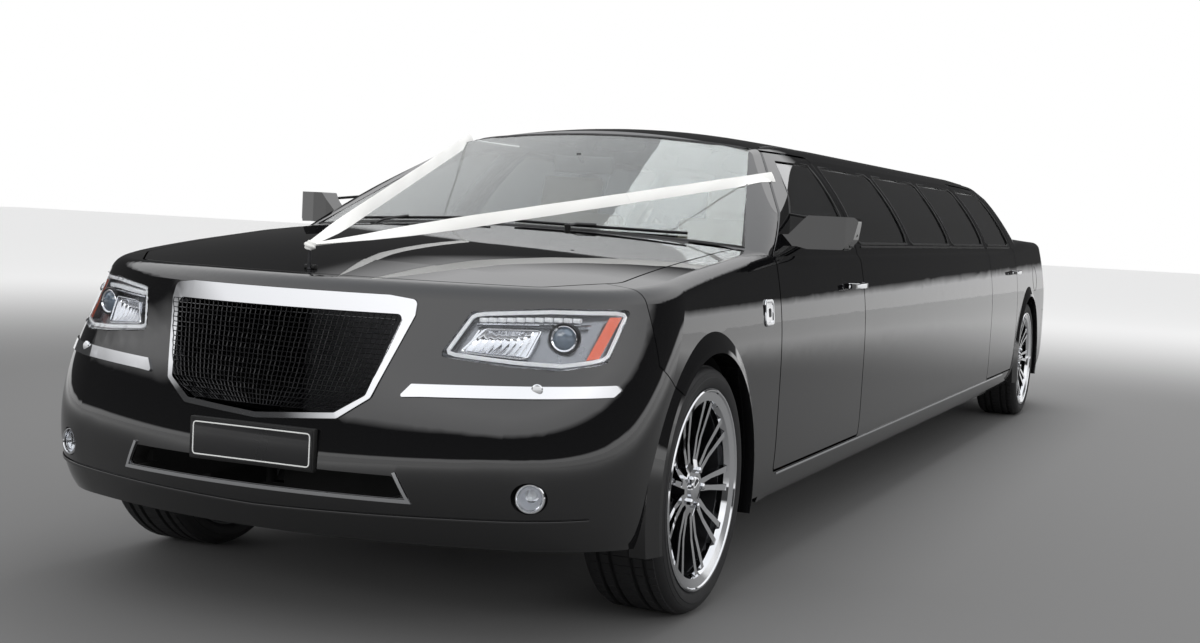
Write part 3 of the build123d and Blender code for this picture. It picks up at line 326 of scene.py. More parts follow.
PAINT = Finish("black_paint", (0.003, 0.003, 0.0035), roughness=0.3, coat=1.0, coat_ior=1.85, specular=0.0,
               grain=Grain.PEEL, relief=0.015, scale=60.0)
UNDERSEAL = Finish("underseal", (0.012, 0.012, 0.012), roughness=0.7, grain=Grain.CAST, relief=0.3,
                   scale=260.0)
CHROME = Finish("bright_chrome", (0.80, 0.81, 0.83), roughness=0.045, metallic=1.0, vary=0.03)
MESH_BLACK = Finish("mesh_black", (0.010, 0.010, 0.011), roughness=0.22, vary=0.1)
PLASTIC = Finish("grained_plastic", (0.022, 0.022, 0.023), roughness=0.55, grain=Grain.MOULDED, relief=0.25,
                 scale=900.0)
GLASS = Finish("screen_glass", (0.80, 0.86, 0.85), roughness=0.0, transmission=1.0, ior=1.45)
TINTED = Finish("tinted_glass", (0.10, 0.11, 0.115), roughness=0.0, transmission=1.0, ior=1.6, coat=1.0,
                coat_ior=2.3)
LENS_CLEAR = Finish("clear_lens", (0.97, 0.98, 0.99), roughness=0.0, transmission=1.0, ior=1.3)
LENS_RED = Finish("red_lens", (0.45, 0.012, 0.010), roughness=0.05, coat=0.8, vary=0.04)
RUBBER = Finish("tyre_rubber", (0.016, 0.016, 0.017), roughness=0.62, grain=Grain.RUBBER, relief=0.2,
                scale=500.0, vary=0.1)
CAST = Finish("cast_metal", (0.17, 0.17, 0.18), roughness=0.5, metallic=0.9, grain=Grain.CAST, relief=0.3,
              scale=300.0)
STEEL = Finish("plain_steel", (0.42, 0.41, 0.40), roughness=0.35, metallic=1.0, grain=Grain.BRUSHED,
               relief=0.15, scale=300.0)
LEATHER = Finish("light_leather", (0.52, 0.46, 0.36), roughness=0.45, grain=Grain.HIDE, relief=0.35,
                 scale=420.0)
WOOD = Finish("dark_wood", (0.14, 0.055, 0.022), roughness=0.18, coat=0.7, grain=Grain.WOOD, relief=0.05,
              scale=9.0, second=(0.26, 0.11, 0.045))
SATIN = Finish("white_satin", (0.88, 0.88, 0.86), roughness=0.32, sheen=0.4, grain=Grain.WEAVE, relief=0.15,
               scale=900.0)
REFLECTOR = Finish("lamp_reflector", (0.80, 0.81, 0.84), roughness=0.10, metallic=1.0, vary=0.05)
LAMP_LINER = Finish("lamp_liner", (0.30, 0.31, 0.33), roughness=0.25, metallic=0.85, vary=0.05)
# Painted glow: faint emission makes the lamps' white parts and amber reflectors look bright, though no lamp
# is lit.
LAMP_WHITE = Finish("lamp_white", (0.93, 0.94, 0.96), roughness=0.3, coat=0.6, vary=0.05, glow=0.12)
AMBER = Finish("amber_reflector_painted_glow", (0.80, 0.10, 0.02), roughness=0.18, coat=0.8, grain=Grain.RIBBED,
               relief=0.8, scale=120.0, glow=0.12)
PROJECTOR = Finish("projector_lens", (0.16, 0.21, 0.27), roughness=0.04, coat=1.0, vary=0.03)
DARK_METAL = Finish("dark_metal", (0.035, 0.035, 0.038), roughness=0.35, metallic=0.6, vary=0.1)
DISC_STEEL = Finish("disc_steel", (0.30, 0.30, 0.31), roughness=0.3, metallic=1.0, grain=Grain.BRUSHED,
                    relief=0.2, scale=400.0)
SEAL = Finish("seal_rubber", (0.008, 0.008, 0.008), roughness=0.5, grain=Grain.RUBBER, relief=0.15,
              scale=600.0, vary=0.1)
PLATE_BLACK = Finish("plate_black", (0.010, 0.010, 0.011), roughness=0.3, coat=0.4, vary=0.06)
PLATE_PALE = Finish("plate_pale", (0.80, 0.81, 0.80), roughness=0.35, coat=0.3, vary=0.06)
MIRROR = Finish("mirror_glass", (0.78, 0.80, 0.82), roughness=0.01, metallic=1.0, vary=0.01)

SLOT_FINISHES = {
    "black_paint": PAINT, "under_paint": UNDERSEAL, "chrome": CHROME, "mesh": MESH_BLACK,
    "dark_plastic": PLASTIC, "glass": GLASS, "tinted_glass": TINTED, "lamp_clear": LENS_CLEAR,
    "lamp_red": LENS_RED, "tyre": RUBBER, "cast_metal": CAST, "leather": LEATHER, "wood": WOOD,
    "steel": STEEL, "satin": SATIN,
}


class Bench:
    """Modelling steps that every piece shares, done with Blender's own operators."""

    SQUARENESS = 0.6        # power of a bar's section: 1 is an ellipse, towards 0 a rectangle
    MERGE = 1e-5            # metres within which two points are one
    RING = 8                # faces round a bar

    @staticmethod
    def clear() -> None:
        """Leaves edit mode if it is on and deselects every object."""
        if bpy.context.mode != "OBJECT":
            bpy.ops.object.mode_set(mode="OBJECT")
        bpy.ops.object.select_all(action="DESELECT")

    @staticmethod
    def rename(piece: Piece, name: str) -> None:
        """Names a piece and its mesh."""
        piece.name = name
        piece.data.name = name

    @staticmethod
    def start(name: str) -> Piece:
        """Names the primitive just added and brings its place into its mesh.

        Args:
            name: name of the piece.

        Returns:
            The piece.
        """
        piece = bpy.context.active_object
        bpy.ops.object.transform_apply(location=True, rotation=True, scale=True)
        Bench.rename(piece, name)
        return piece

    @staticmethod
    def choose(piece: Piece) -> None:
        """Makes a piece the only selected one, and active."""
        Bench.clear()
        piece.select_set(True)
        bpy.context.view_layer.objects.active = piece

    @staticmethod
    def edit(piece: Piece) -> None:
        """Opens a piece in edit mode with all of it selected."""
        Bench.choose(piece)
        bpy.ops.object.mode_set(mode="EDIT")
        bpy.ops.mesh.select_all(action="SELECT")

    @staticmethod
    def close() -> None:
        """Goes back to object mode."""
        bpy.ops.object.mode_set(mode="OBJECT")

    @staticmethod
    def weld(piece: Piece) -> None:
        """Merges doubles, fills open ends and turns the faces outwards."""
        Bench.edit(piece)
        bpy.ops.mesh.remove_doubles(threshold=Bench.MERGE)
        bpy.ops.mesh.dissolve_degenerate(threshold=Bench.MERGE / 10)
        bpy.ops.mesh.select_all(action="DESELECT")
        bpy.ops.mesh.select_mode(type="EDGE")
        bpy.ops.mesh.select_non_manifold(extend=False)
        bpy.ops.mesh.fill_holes(sides=0)
        bpy.ops.mesh.select_mode(type="VERT")
        bpy.ops.mesh.select_all(action="SELECT")
        bpy.ops.mesh.normals_make_consistent(inside=False)
        Bench.close()

    @staticmethod
    def modify(piece: Piece, kind: str, **values: float | bool) -> None:
        """Adds a modifier to a piece, sets its values and applies it.

        Args:
            piece: the piece.
            kind: the modifier's type.
            values: its settings.
        """
        Bench.choose(piece)
        modifier = piece.modifiers.new(kind.lower(), kind)
        for key, value in values.items():
            setattr(modifier, key, value)
        bpy.ops.object.modifier_apply(modifier=modifier.name)

    @staticmethod
    def laid(name: str, across: int, down: int, place: Rule, closed: bool = False, wall: float = 0.0,
             offset: float = -1.0) -> Piece:
        """Lays a grid over a rule.

        Args:
            name: name of the piece.
            across: faces across the grid.
            down: faces down the grid.
            place: gives the point for two shares from 0 to 1.
            closed: whether the grid closes on itself and is welded into a solid.
            wall: thickness of the wall that an open grid gets, in metres.
            offset: where the wall lies: -1 behind the grid, 0 on both its sides.

        Returns:
            The piece.
        """
        Bench.clear()
        bpy.ops.mesh.primitive_grid_add(x_subdivisions=across, y_subdivisions=down, size=2)
        piece = Bench.start(name)
        for vertex in piece.data.vertices:
            vertex.co = place((vertex.co.x + 1) / 2, (vertex.co.y + 1) / 2)
        if closed:
            Bench.weld(piece)
        if wall:
            Bench.modify(piece, "SOLIDIFY", thickness=wall, offset=offset)
        return piece

    @staticmethod
    def turned(name: str, section: Sequence[Pair], centre: Sequence[float], axis: Sequence[float],
               steps: int = 48) -> Piece:
        """Spins a closed section round an axis.

        Args:
            name: name of the piece.
            section: distance along the axis and radius of each corner, in millimetres.
            centre: point on the axis, in metres.
            axis: direction of the axis.
            steps: faces round the piece.

        Returns:
            The piece.
        """
        Bench.clear()
        bpy.ops.mesh.primitive_circle_add(vertices=len(section), radius=1.0)
        piece = Bench.start(name)
        middle, spindle = Vector(centre), Vector(axis).normalized()
        arm = spindle.orthogonal().normalized()
        for vertex, (distance, radius) in zip(piece.data.vertices, section):
            vertex.co = middle + spindle * distance * MM + arm * radius * MM
        Bench.edit(piece)
        bpy.ops.mesh.spin(steps=steps, angle=2 * pi, center=middle, axis=spindle)
        Bench.close()
        Bench.weld(piece)
        return piece

    @staticmethod
    def strip(name: str, path: Sequence[Vector], out: Sequence[float] | Sequence[Vector], width: float,
              height: float, closed: bool = False) -> Piece:
        """Sweeps a rounded flat bar along a path.

        Args:
            name: name of the piece.
            path: points of the bar's middle line, in metres.
            out: direction that the flat side faces, one for the whole bar or one for each point.
            width: width of the bar in metres.
            height: thickness of the bar in metres.
            closed: whether the path returns to its first point.

        Returns:
            The piece.
        """
        count = len(path)
        ways = out if isinstance(out[0], Vector) else [Vector(out)] * count
        frames = []
        for i, point in enumerate(path):
            before = path[i - 1] if closed or i > 0 else point
            after = path[(i + 1) % count] if closed or i < count - 1 else point
            run = (after - before).normalized()
            side = run.cross(ways[i]).normalized()
            frames.append((point, side, side.cross(run).normalized()))
        rows = count if closed else count - 1

        def place(u: float, v: float) -> Vector:
            """Point on the bar's surface."""
            point, side, up = frames[round(v * rows) % count]
            turn = 2 * pi * u
            reach = copysign(abs(cos(turn)) ** Bench.SQUARENESS, cos(turn)) * width / 2
            rise = copysign(abs(sin(turn)) ** Bench.SQUARENESS, sin(turn)) * height / 2
            return point + side * reach + up * rise

        return Bench.laid(name, Bench.RING, rows, place, closed=True)

    @staticmethod
    def block(name: str, low: Sequence[float], high: Sequence[float], bevel: float,
              segments: int = 2) -> Piece:
        """Makes a block with rounded edges.

        Args:
            name: name of the piece.
            low: lowest corner, in metres.
            high: highest corner, in metres.
            bevel: radius of the rounding.
            segments: faces across the rounding.

        Returns:
            The piece.
        """
        Bench.clear()
        centre = [(a + b) / 2 for a, b in zip(low, high)]
        size = [b - a for a, b in zip(low, high)]
        bpy.ops.mesh.primitive_cube_add(size=1.0, location=centre, scale=size)
        piece = Bench.start(name)
        Bench.edit(piece)
        bpy.ops.mesh.bevel(offset=bevel, segments=segments, affect="EDGES")
        Bench.close()
        return piece

    @staticmethod
    def joined(name: str, pieces: Sequence[Piece]) -> Piece:
        """Joins several pieces into one.

        Args:
            name: name of the joined piece.
            pieces: what is joined.

        Returns:
            The joined piece.
        """
        Bench.choose(pieces[0])
        for piece in pieces[1:]:
            piece.select_set(True)
        bpy.ops.object.join()
        Bench.rename(pieces[0], name)
        return pieces[0]

    @staticmethod
    def mirrored(piece: Piece, name: str) -> Piece:
        """Copies a piece to the other side of the car.

        Args:
            piece: the left-hand piece.
            name: name of the copy.

        Returns:
            The right-hand copy with its own mesh.
        """
        twin = piece.copy()
        twin.data = piece.data.copy()
        bpy.context.scene.collection.objects.link(twin)
        twin.data.transform(Matrix.Scale(-1, 4, LEFT))
        twin.data.flip_normals()
        Bench.rename(twin, name)
        return twin


def dress(piece: Piece, finish: Finish, slot: str, body: str = "body", crease: float = 35.0) -> Piece:
    """Gives a finished piece its shading, finish and body.

    Args:
        piece: the piece.
        finish: its finish.
        slot: the record's material slot; not used.
        body: the body it rides on.
        crease: angle in degrees above which an edge stays sharp.

    Returns:
        The same piece.
    """
    Bench.choose(piece)
    bpy.ops.object.shade_smooth_by_angle(angle=radians(crease))
    piece.data.materials.clear()
    piece.data.materials.append(finish.build())
    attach(piece, body)
    LOG.info("%s: %d faces on %s", piece.name, len(piece.data.polygons), body)
    return piece


def dress_both(piece: Piece, finish: Finish, slot: str, body: str = "body",
               crease: float = 35.0) -> tuple[Piece, Piece]:
    """Dresses a left-hand piece and its mirror image.

    Args:
        piece: the left-hand piece, whose name ends in left.
        finish: their finish.
        slot: the record's material slot.
        body: the left-hand body; the word left in it becomes right for the copy.
        crease: angle in degrees above which an edge stays sharp.

    Returns:
        The left-hand piece and its copy.
    """
    twin = Bench.mirrored(piece, piece.name.replace("left", "right"))
    return (dress(piece, finish, slot, body, crease),
            dress(twin, finish, slot, body.replace("left", "right"), crease))


def turn_pairs(title: str, rows: Sequence[tuple[str, Sequence[Pair], Finish, str]], centre: Sequence[float],
               axis: Sequence[float], body: str = "body", steps: int = 48) -> None:
    """Makes the left-hand and right-hand turned pieces that a table lists.

    Args:
        title: name of the left-hand pieces, with {} for the part.
        rows: part, section, finish and slot of each pair.
        centre: point on their axis, in metres.
        axis: direction of the axis.
        body: the left-hand body.
        steps: faces round each piece.
    """
    for part, section, finish, slot in rows:
        dress_both(Bench.turned(title.format(part), section, centre, axis, steps), finish, slot, body)


def number_plate(names: tuple[str, str], low: Triple, high: Triple, way: Triple, rise: Pair,
                 body: str = "body") -> None:
    """Makes a blank number plate with its pale border.

    Args:
        names: names of the plate and of its border.
        low: lowest corner of the plate, in metres.
        high: highest corner.
        way: direction that the plate faces.
        rise: Y of the border's middle line and the border's thickness.
        body: the body that carries the plate.
    """
    margin = 0.007
    dress(Bench.block(names[0], low, high, 0.0006), PLATE_BLACK, "dark_plastic", body)
    outline = rounded_box((low[0] + margin, low[2] + margin), (high[0] - margin, high[2] - margin), 0.01)
    path = [Vector((x, rise[0], z)) for x, z in outline]
    border = Bench.strip(names[1], path, way, 0.0035, rise[1], closed=True)
    dress(border, PLATE_PALE, "dark_plastic", body)


class Skin:
    """Outer surface of some carried-over nodes, found by rays."""

    FAR = 9.0           # Y from which rays start ahead and behind
    HIGH = 3.0          # X or Z from which they start on the left and above
    SLACK = 0.012       # depth up to which a hit still counts as the outer surface
    NOSE_Y = -4.2       # Y of a plane just ahead of the nose

    def __init__(self, *names: str) -> None:
        """Gathers the nodes' faces.

        Args:
            names: names of the nodes.
        """
        points: list[Vector] = []
        faces: list[tuple[int, ...]] = []
        for name in names:
            mesh = frame["nodes"][name].data
            first = len(points)
            points += [vertex.co.copy() for vertex in mesh.vertices]
            faces += [tuple(first + i for i in face.vertices) for face in mesh.polygons]
        self.tree = BVHTree.FromPolygons(points, faces)

    def _hit(self, start: Sequence[float], way: Triple) -> Vector | None:
        """First point that a ray meets, or None."""
        return self.tree.ray_cast(Vector(start), Vector(way))[0]

    def _outer(self, start: Triple, way: Triple, axis: int, step: float, lift: float) -> Vector:
        """Point that a ray meets, or its neighbours where it falls into a gap.

        Args:
            start: start of the ray.
            way: direction of the ray.
            axis: axis along which its two neighbours are found.
            step: how far away they start.
            lift: how far the point is moved back against the ray.

        Returns:
            The point on the surface.
        """
        hits = [self._hit([value + shift if i == axis else value for i, value in enumerate(start)], way)
                for shift in (0.0, -step, step)]
        found = [hit for hit in hits if hit is not None]
        if not found:
            raise ValueError(f"no surface under {start}")
        direction = Vector(way)
        first = min(found, key=direction.dot)
        point = hits[0]
        if point is None or direction.dot(point - first) >= self.SLACK:
            point = Vector([first[i] if part else start[i] for i, part in enumerate(way)])
        return point - direction * lift

    def near(self, x: float, z: float) -> Vector:
        """Point of the surface nearest to a point ahead of it."""
        return self.tree.find_nearest(Vector((x, self.NOSE_Y, z)))[0]

    def under(self, point: Vector) -> Vector | None:
        """Point of the surface above or below a point, or None where there is none."""
        return self._hit((point.x, point.y, self.HIGH), DOWN)

    def ahead(self, point: Vector) -> Vector | None:
        """Point of the surface ahead of or behind a point, or None where there is none."""
        return self._hit((point.x, -self.FAR, point.z), BACK)

    def front(self, x: float, z: float, lift: float = 0.0) -> Vector:
        """Point on the front seen straight from ahead, moved forward by lift."""
        return self._outer((x, -self.FAR, z), BACK, 0, 0.008, lift)

    def back(self, x: float, z: float, lift: float = 0.0) -> Vector:
        """Point on the tail seen straight from behind, moved back by lift."""
        return self._outer((x, self.FAR, z), AHEAD, 0, 0.008, lift)

    def side(self, y: float, z: float, lift: float = 0.0) -> Vector:
        """Point on the left side seen straight from the left, moved out by lift."""
        return self._outer((self.HIGH, y, z), RIGHT, 1, 0.012, lift)

    def top(self, x: float, y: float, lift: float = 0.0) -> Vector:
        """Point on the top seen straight from above, raised by lift."""
        return self._outer((x, y, self.HIGH), DOWN, 1, 0.012, lift)


FRONT_NODES = ("front_bumper", "fender_left", "fender_right", "headlamps", "bonnet", "grille_surround")
SIDE_NODES = ("body_side_left", "door_front_left", "door_rear_left", "fender_left", "front_bumper",
              "rear_bumper")


@dataclass
class Tyres:
    """Tyres with moulded tread blocks and ringed sidewalls.

    Args:
        half_section: distance from the middle and radius of the outer half, bead to tread, in millimetres.
        inner_wall: the same for the inside.
        block_rise: height of a tread block in metres.
        block_gap: half the gap between blocks in metres.
    """

    half_section: tuple[Pair, ...] = (
        (107.5, 272.4), (108.5, 288), (114, 296), (117, 298), (118.5, 301), (122, 308), (122.4, 312),
        (124.6, 318), (124.6, 324), (122.5, 326), (122.3, 330), (119.5, 338), (118.2, 338.5), (116, 343),
        (110, 348.5), (102, 352), (96, 353.6), (72, 354), (70, 348), (63, 348), (61, 354.2), (36, 354.3),
        (34, 348), (27, 348), (25, 354.3))
    inner_wall: tuple[Pair, ...] = ((92, 343), (108, 328), (108, 312), (92, 296), (92, 272.4))
    block_rise: float = 0.0036
    block_gap: float = 0.0017

    def build(self) -> None:
        """Makes the four tyres."""
        section = list(self.half_section) + [(-a, r) for a, r in reversed(self.half_section)]
        section += [(-a, r) for a, r in reversed(self.inner_wall)] + list(self.inner_wall)
        for end, station in AXLES:
            centre = (WHEEL_X, at(station), WHEEL_Z)
            tyre = Bench.turned(f"tyre_tread_{end}_left", section, centre, LEFT, ROUND_STEPS)
            self._raise_blocks(tyre, at(station))
            pair = dress_both(tyre, RUBBER, "tyre", f"wheel_{end}_left", 40.0)
            for piece, side in zip(pair, ("left", "right")):
                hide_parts(f"tyre_{end}_{side}")

    def _raise_blocks(self, tyre: Piece, y: float) -> None:
        """Raises a block on every face of the tread's ribs.

        Args:
            tyre: the tyre.
            y: Y of its axle.
        """
        Bench.edit(tyre)
        bpy.ops.mesh.select_all(action="DESELECT")
        Bench.close()
        rib_radius, rib_reach, steepest = 0.3525, 0.104, 0.5
        for face in tyre.data.polygons:
            across = abs(face.center.x - WHEEL_X)
            radius = Vector((face.center.y - y, face.center.z - WHEEL_Z)).length
            face.select = radius > rib_radius and abs(face.normal.x) < steepest and across < rib_reach
        bpy.ops.object.mode_set(mode="EDIT")
        bpy.ops.mesh.select_mode(type="FACE")
        bpy.ops.mesh.inset(thickness=self.block_gap, depth=self.block_rise, use_individual=True)
        bpy.ops.mesh.select_mode(type="VERT")
        Bench.close()


@dataclass
class WheelTrim:
    """Caps, nuts, bright bead, brake disc face, and dark rings that paint shade into the lip's groove and
    over the barrel of each wheel.

    Args:
        rows: part, section, finish and slot of the pieces of one wheel.
        nut: section of a wheel nut.
        nuts: how many nuts there are.
        nut_circle: radius of their circle in metres.
    """

    rows: tuple = (
        ("cap", ((86, 0), (86, 38), (93, 38), (97, 34), (98, 26), (99.5, 24), (101, 12), (101.5, 0)),
         CHROME, "chrome"),
        ("bead", ((111, 283), (113, 289.5), (118, 291.5), (121.5, 289), (121, 284.5), (116, 281)),
         CHROME, "chrome"),
        # groove and barrel: dark sheets over the chrome rim, painted shade in the lip's groove and inside
        # the wheel
        ("groove", ((108.2, 262), (113.2, 275.5), (114.4, 275), (110.4, 262.4)), DARK_METAL, "cast_metal"),
        ("barrel", ((-90, 247.6), (76, 247.6), (76, 246.2), (-90, 246.2)), DARK_METAL, "cast_metal"),
        ("disc", ((-14.6, 74), (-14.6, 165.6), (-12.8, 165), (-12.8, 76)), DISC_STEEL, "steel"))
    nut: tuple[Pair, ...] = ((86, 0), (86, 10.5), (99, 10.5), (103, 7), (104, 0))
    nuts: int = 5
    nut_circle: float = 0.054

    def build(self) -> None:
        """Makes the trim of the four wheels."""
        for end, station in AXLES:
            x, y, z = centre = (WHEEL_X, at(station), WHEEL_Z)
            body = f"wheel_{end}_left"
            turn_pairs(f"wheel_{{}}_{end}_left", self.rows, centre, LEFT, body, ROUND_STEPS)
            nuts = []
            for i in range(self.nuts):
                turn = 2 * pi * i / self.nuts
                place = (x, y + self.nut_circle * cos(turn), z + self.nut_circle * sin(turn))
                nuts.append(Bench.turned("nut", self.nut, place, LEFT, 6))
            dress_both(Bench.joined(f"wheel_nuts_{end}_left", nuts), CHROME, "chrome", body, 20.0)


@dataclass
class Headlamps:
    """Headlamps with a clear cover over a bowl, side-light row, reflector, projector and side reflector.

    Args:
        top: upper edge in the front view, x and height in millimetres.
        bottom: lower edge.
        cover_drop: how far the cover lies under the body's surface, in metres.
        cover_wall: thickness of the cover.
        bowl_depth: depth of the bowl behind the cover.
        segments: modules in the side-light row.
    """

    top: tuple[Pair, ...] = ((512, 868), (690, 884), (853, 886))
    bottom: tuple[Pair, ...] = ((458, 752), (640, 735), (745, 731), (838, 750))
    cover_drop: float = 0.0006
    cover_wall: float = 0.0025
    bowl_depth: float = 0.046
    segments: int = 11

    def build(self) -> None:
        """Makes both headlamps and both fog lamps."""
        self.skin = Skin("headlamps", *FRONT_NODES[:3])
        self._cover()
        self._bowl()
        self._rim()
        self._light_row()
        self._reflector()
        self._projector()
        self._side_reflector()
        self._fog_lamp()

    def _point(self, u: float, v: float, depth: float) -> Vector:
        """Point inside the outline at shares across and up, set back by depth."""
        spot = along(self.bottom, u).lerp(along(self.top, u), v) * MM
        return self.skin.front(spot.x, spot.y, -depth)

    def _cover(self) -> None:
        """Makes the clear covers."""
        cover = Bench.laid("lamp_cover_left", 40, 14, lambda u, v: self._point(u, v, self.cover_drop),
                           wall=self.cover_wall)
        for piece in dress_both(cover, LENS_CLEAR, "lamp_clear"):
            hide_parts("headlamps")

    def _bowl(self) -> None:
        """Makes the bright bowls: a floor with walls that rise to the cover."""
        across, down = 40, 14

        def pulled(share: float, count: int, border: float) -> tuple[float, bool]:
            """Moves the grid's second line close to its edge, so that the wall is steep."""
            i = round(share * count)
            if i in (0, count):
                return share, True
            return border + (1 - 2 * border) * (i - 1) / (count - 2), False

        def place(u: float, v: float) -> Vector:
            """Point on the bowl."""
            u, edge_u = pulled(u, across, 0.02)
            v, edge_v = pulled(v, down, 0.06)
            depth = 0.0045 if edge_u or edge_v else self.bowl_depth
            return self._point(u, v, depth)

        bowl = Bench.laid("lamp_bowl_left", across, down, place, wall=0.0012)
        dress_both(bowl, LAMP_LINER, "lamp_clear")

    def _rim(self) -> None:
        """Makes the white rims that show inside the covers."""
        margin_u, margin_v, count = 0.022, 0.065, 64
        corners = rounded_box((margin_u, margin_v), (1 - margin_u, 1 - margin_v), 0.08)
        shares = [along([*corners, corners[0]], i / count) for i in range(count)]
        path = [self._point(share.x, share.y, 0.009) for share in shares]
        rim = Bench.strip("lamp_rim_left", path, AHEAD, 0.011, 0.008, closed=True)
        dress_both(rim, LAMP_WHITE, "lamp_clear")

    def _light_row(self) -> None:
        """Makes the row of side-light modules under the upper edge, and the ledge below it."""
        half = Vector((0.0098, 0.008, 0.0058))
        modules = []
        for i in range(self.segments):
            middle = self._point(0.10 + 0.60 * i / (self.segments - 1), 0.80, 0.020)
            modules.append(Bench.block("module", middle - half, middle + half, 0.0018))
        dress_both(Bench.joined("lamp_row_left", modules), LAMP_WHITE, "lamp_clear")
        path = [self._point(0.07 + 0.72 * i / 16, 0.70, 0.024) for i in range(17)]
        ledge = Bench.strip("lamp_ledge_left", path, (0, -1, 0.3), 0.005, 0.022)
        dress_both(ledge, REFLECTOR, "lamp_clear")

    def _reflector(self) -> None:
        """Makes the main-beam reflector: a framed box with a fluted, dished back."""
        line = round_corners(((0.10, 0.14), (0.52, 0.14), (0.52, 0.62), (0.16, 0.62)), 0.05)
        path = [self._point(u, v, 0.012) for u, v in line]
        frame_bar = Bench.strip("lamp_box_left", path, AHEAD, 0.006, 0.006, closed=True)
        dress_both(frame_bar, REFLECTOR, "lamp_clear")

        def place(u: float, v: float) -> Vector:
            """Point on the dished and fluted reflector."""
            dish = 4 * (u - u * u) * 4 * (v - v * v)
            flute = 0.0018 * abs(sin(pi * u * 9))
            return self._point(0.115 + 0.39 * u, 0.17 + 0.42 * v, 0.014 + 0.024 * dish - flute)

        dished = Bench.laid("lamp_reflector_left", 54, 12, place, wall=0.001)
        dress_both(dished, REFLECTOR, "lamp_clear")

    def _projector(self) -> None:
        """Makes the projector: dark ring, bright ring and domed lens."""
        rows = (("shroud", ((-24, 33), (-24, 41), (2, 41), (5, 39), (5, 36), (-2, 33)), DARK_METAL,
                 "lamp_clear"),
                ("ring", ((-6, 29), (-6, 33.4), (4, 34.4), (5, 33), (2, 29)), REFLECTOR, "lamp_clear"),
                ("lens", ((-20, 0), (-20, 29.4), (-3, 29.4), (1, 26), (5, 19), (7.5, 10), (8.5, 0)),
                 PROJECTOR, "lamp_clear"))
        centre = self.skin.front(0.728, 0.808) + Vector((0.0, 0.018, 0.0))
        turn_pairs("lamp_{}_left", rows, centre, (0.25, -1.0, 0.0))

    def _side_reflector(self) -> None:
        """Makes the ribbed reflectors at the outer ends."""

        def place(u: float, v: float) -> Vector:
            """Point on the reflector, which leans with the lamp's end."""
            lean = 0.022 * (1 - v)
            return self._point(0.895 + 0.066 * u - lean, 0.12 + 0.74 * v, 0.006)

        amber = Bench.laid("lamp_amber_left", 8, 16, place, wall=0.004)
        dress_both(amber, AMBER, "lamp_clear")

    def _fog_lamp(self) -> None:
        """Makes the fog lamps in their holes."""
        rows = (("ring", ((-6, 31), (-6, 38.5), (3, 38.5), (6, 36), (6, 33.5), (1, 31)), CHROME, "chrome"),
                ("bowl", ((-34, 0), (-34, 12), (-22, 26), (-6, 31.5), (-6, 30), (-20, 24), (-31, 11),
                          (-31, 0)), REFLECTOR, "chrome"),
                ("bulb", ((-31, 0), (-31, 7), (-16, 7), (-12, 4), (-11, 0)), LAMP_WHITE, "lamp_clear"),
                ("lens", ((-5, 0), (-5, 31), (-2, 31), (2, 24), (4, 12), (4.6, 0), (2.6, 0), (1.8, 12),
                          (0, 22)), LENS_CLEAR, "lamp_clear"))
        centre = self.skin.front(0.724, 0.415) + Vector((0.0, 0.008, 0.0))
        turn_pairs("fog_{}_left", rows, centre, (0.35, -1.0, 0.02))


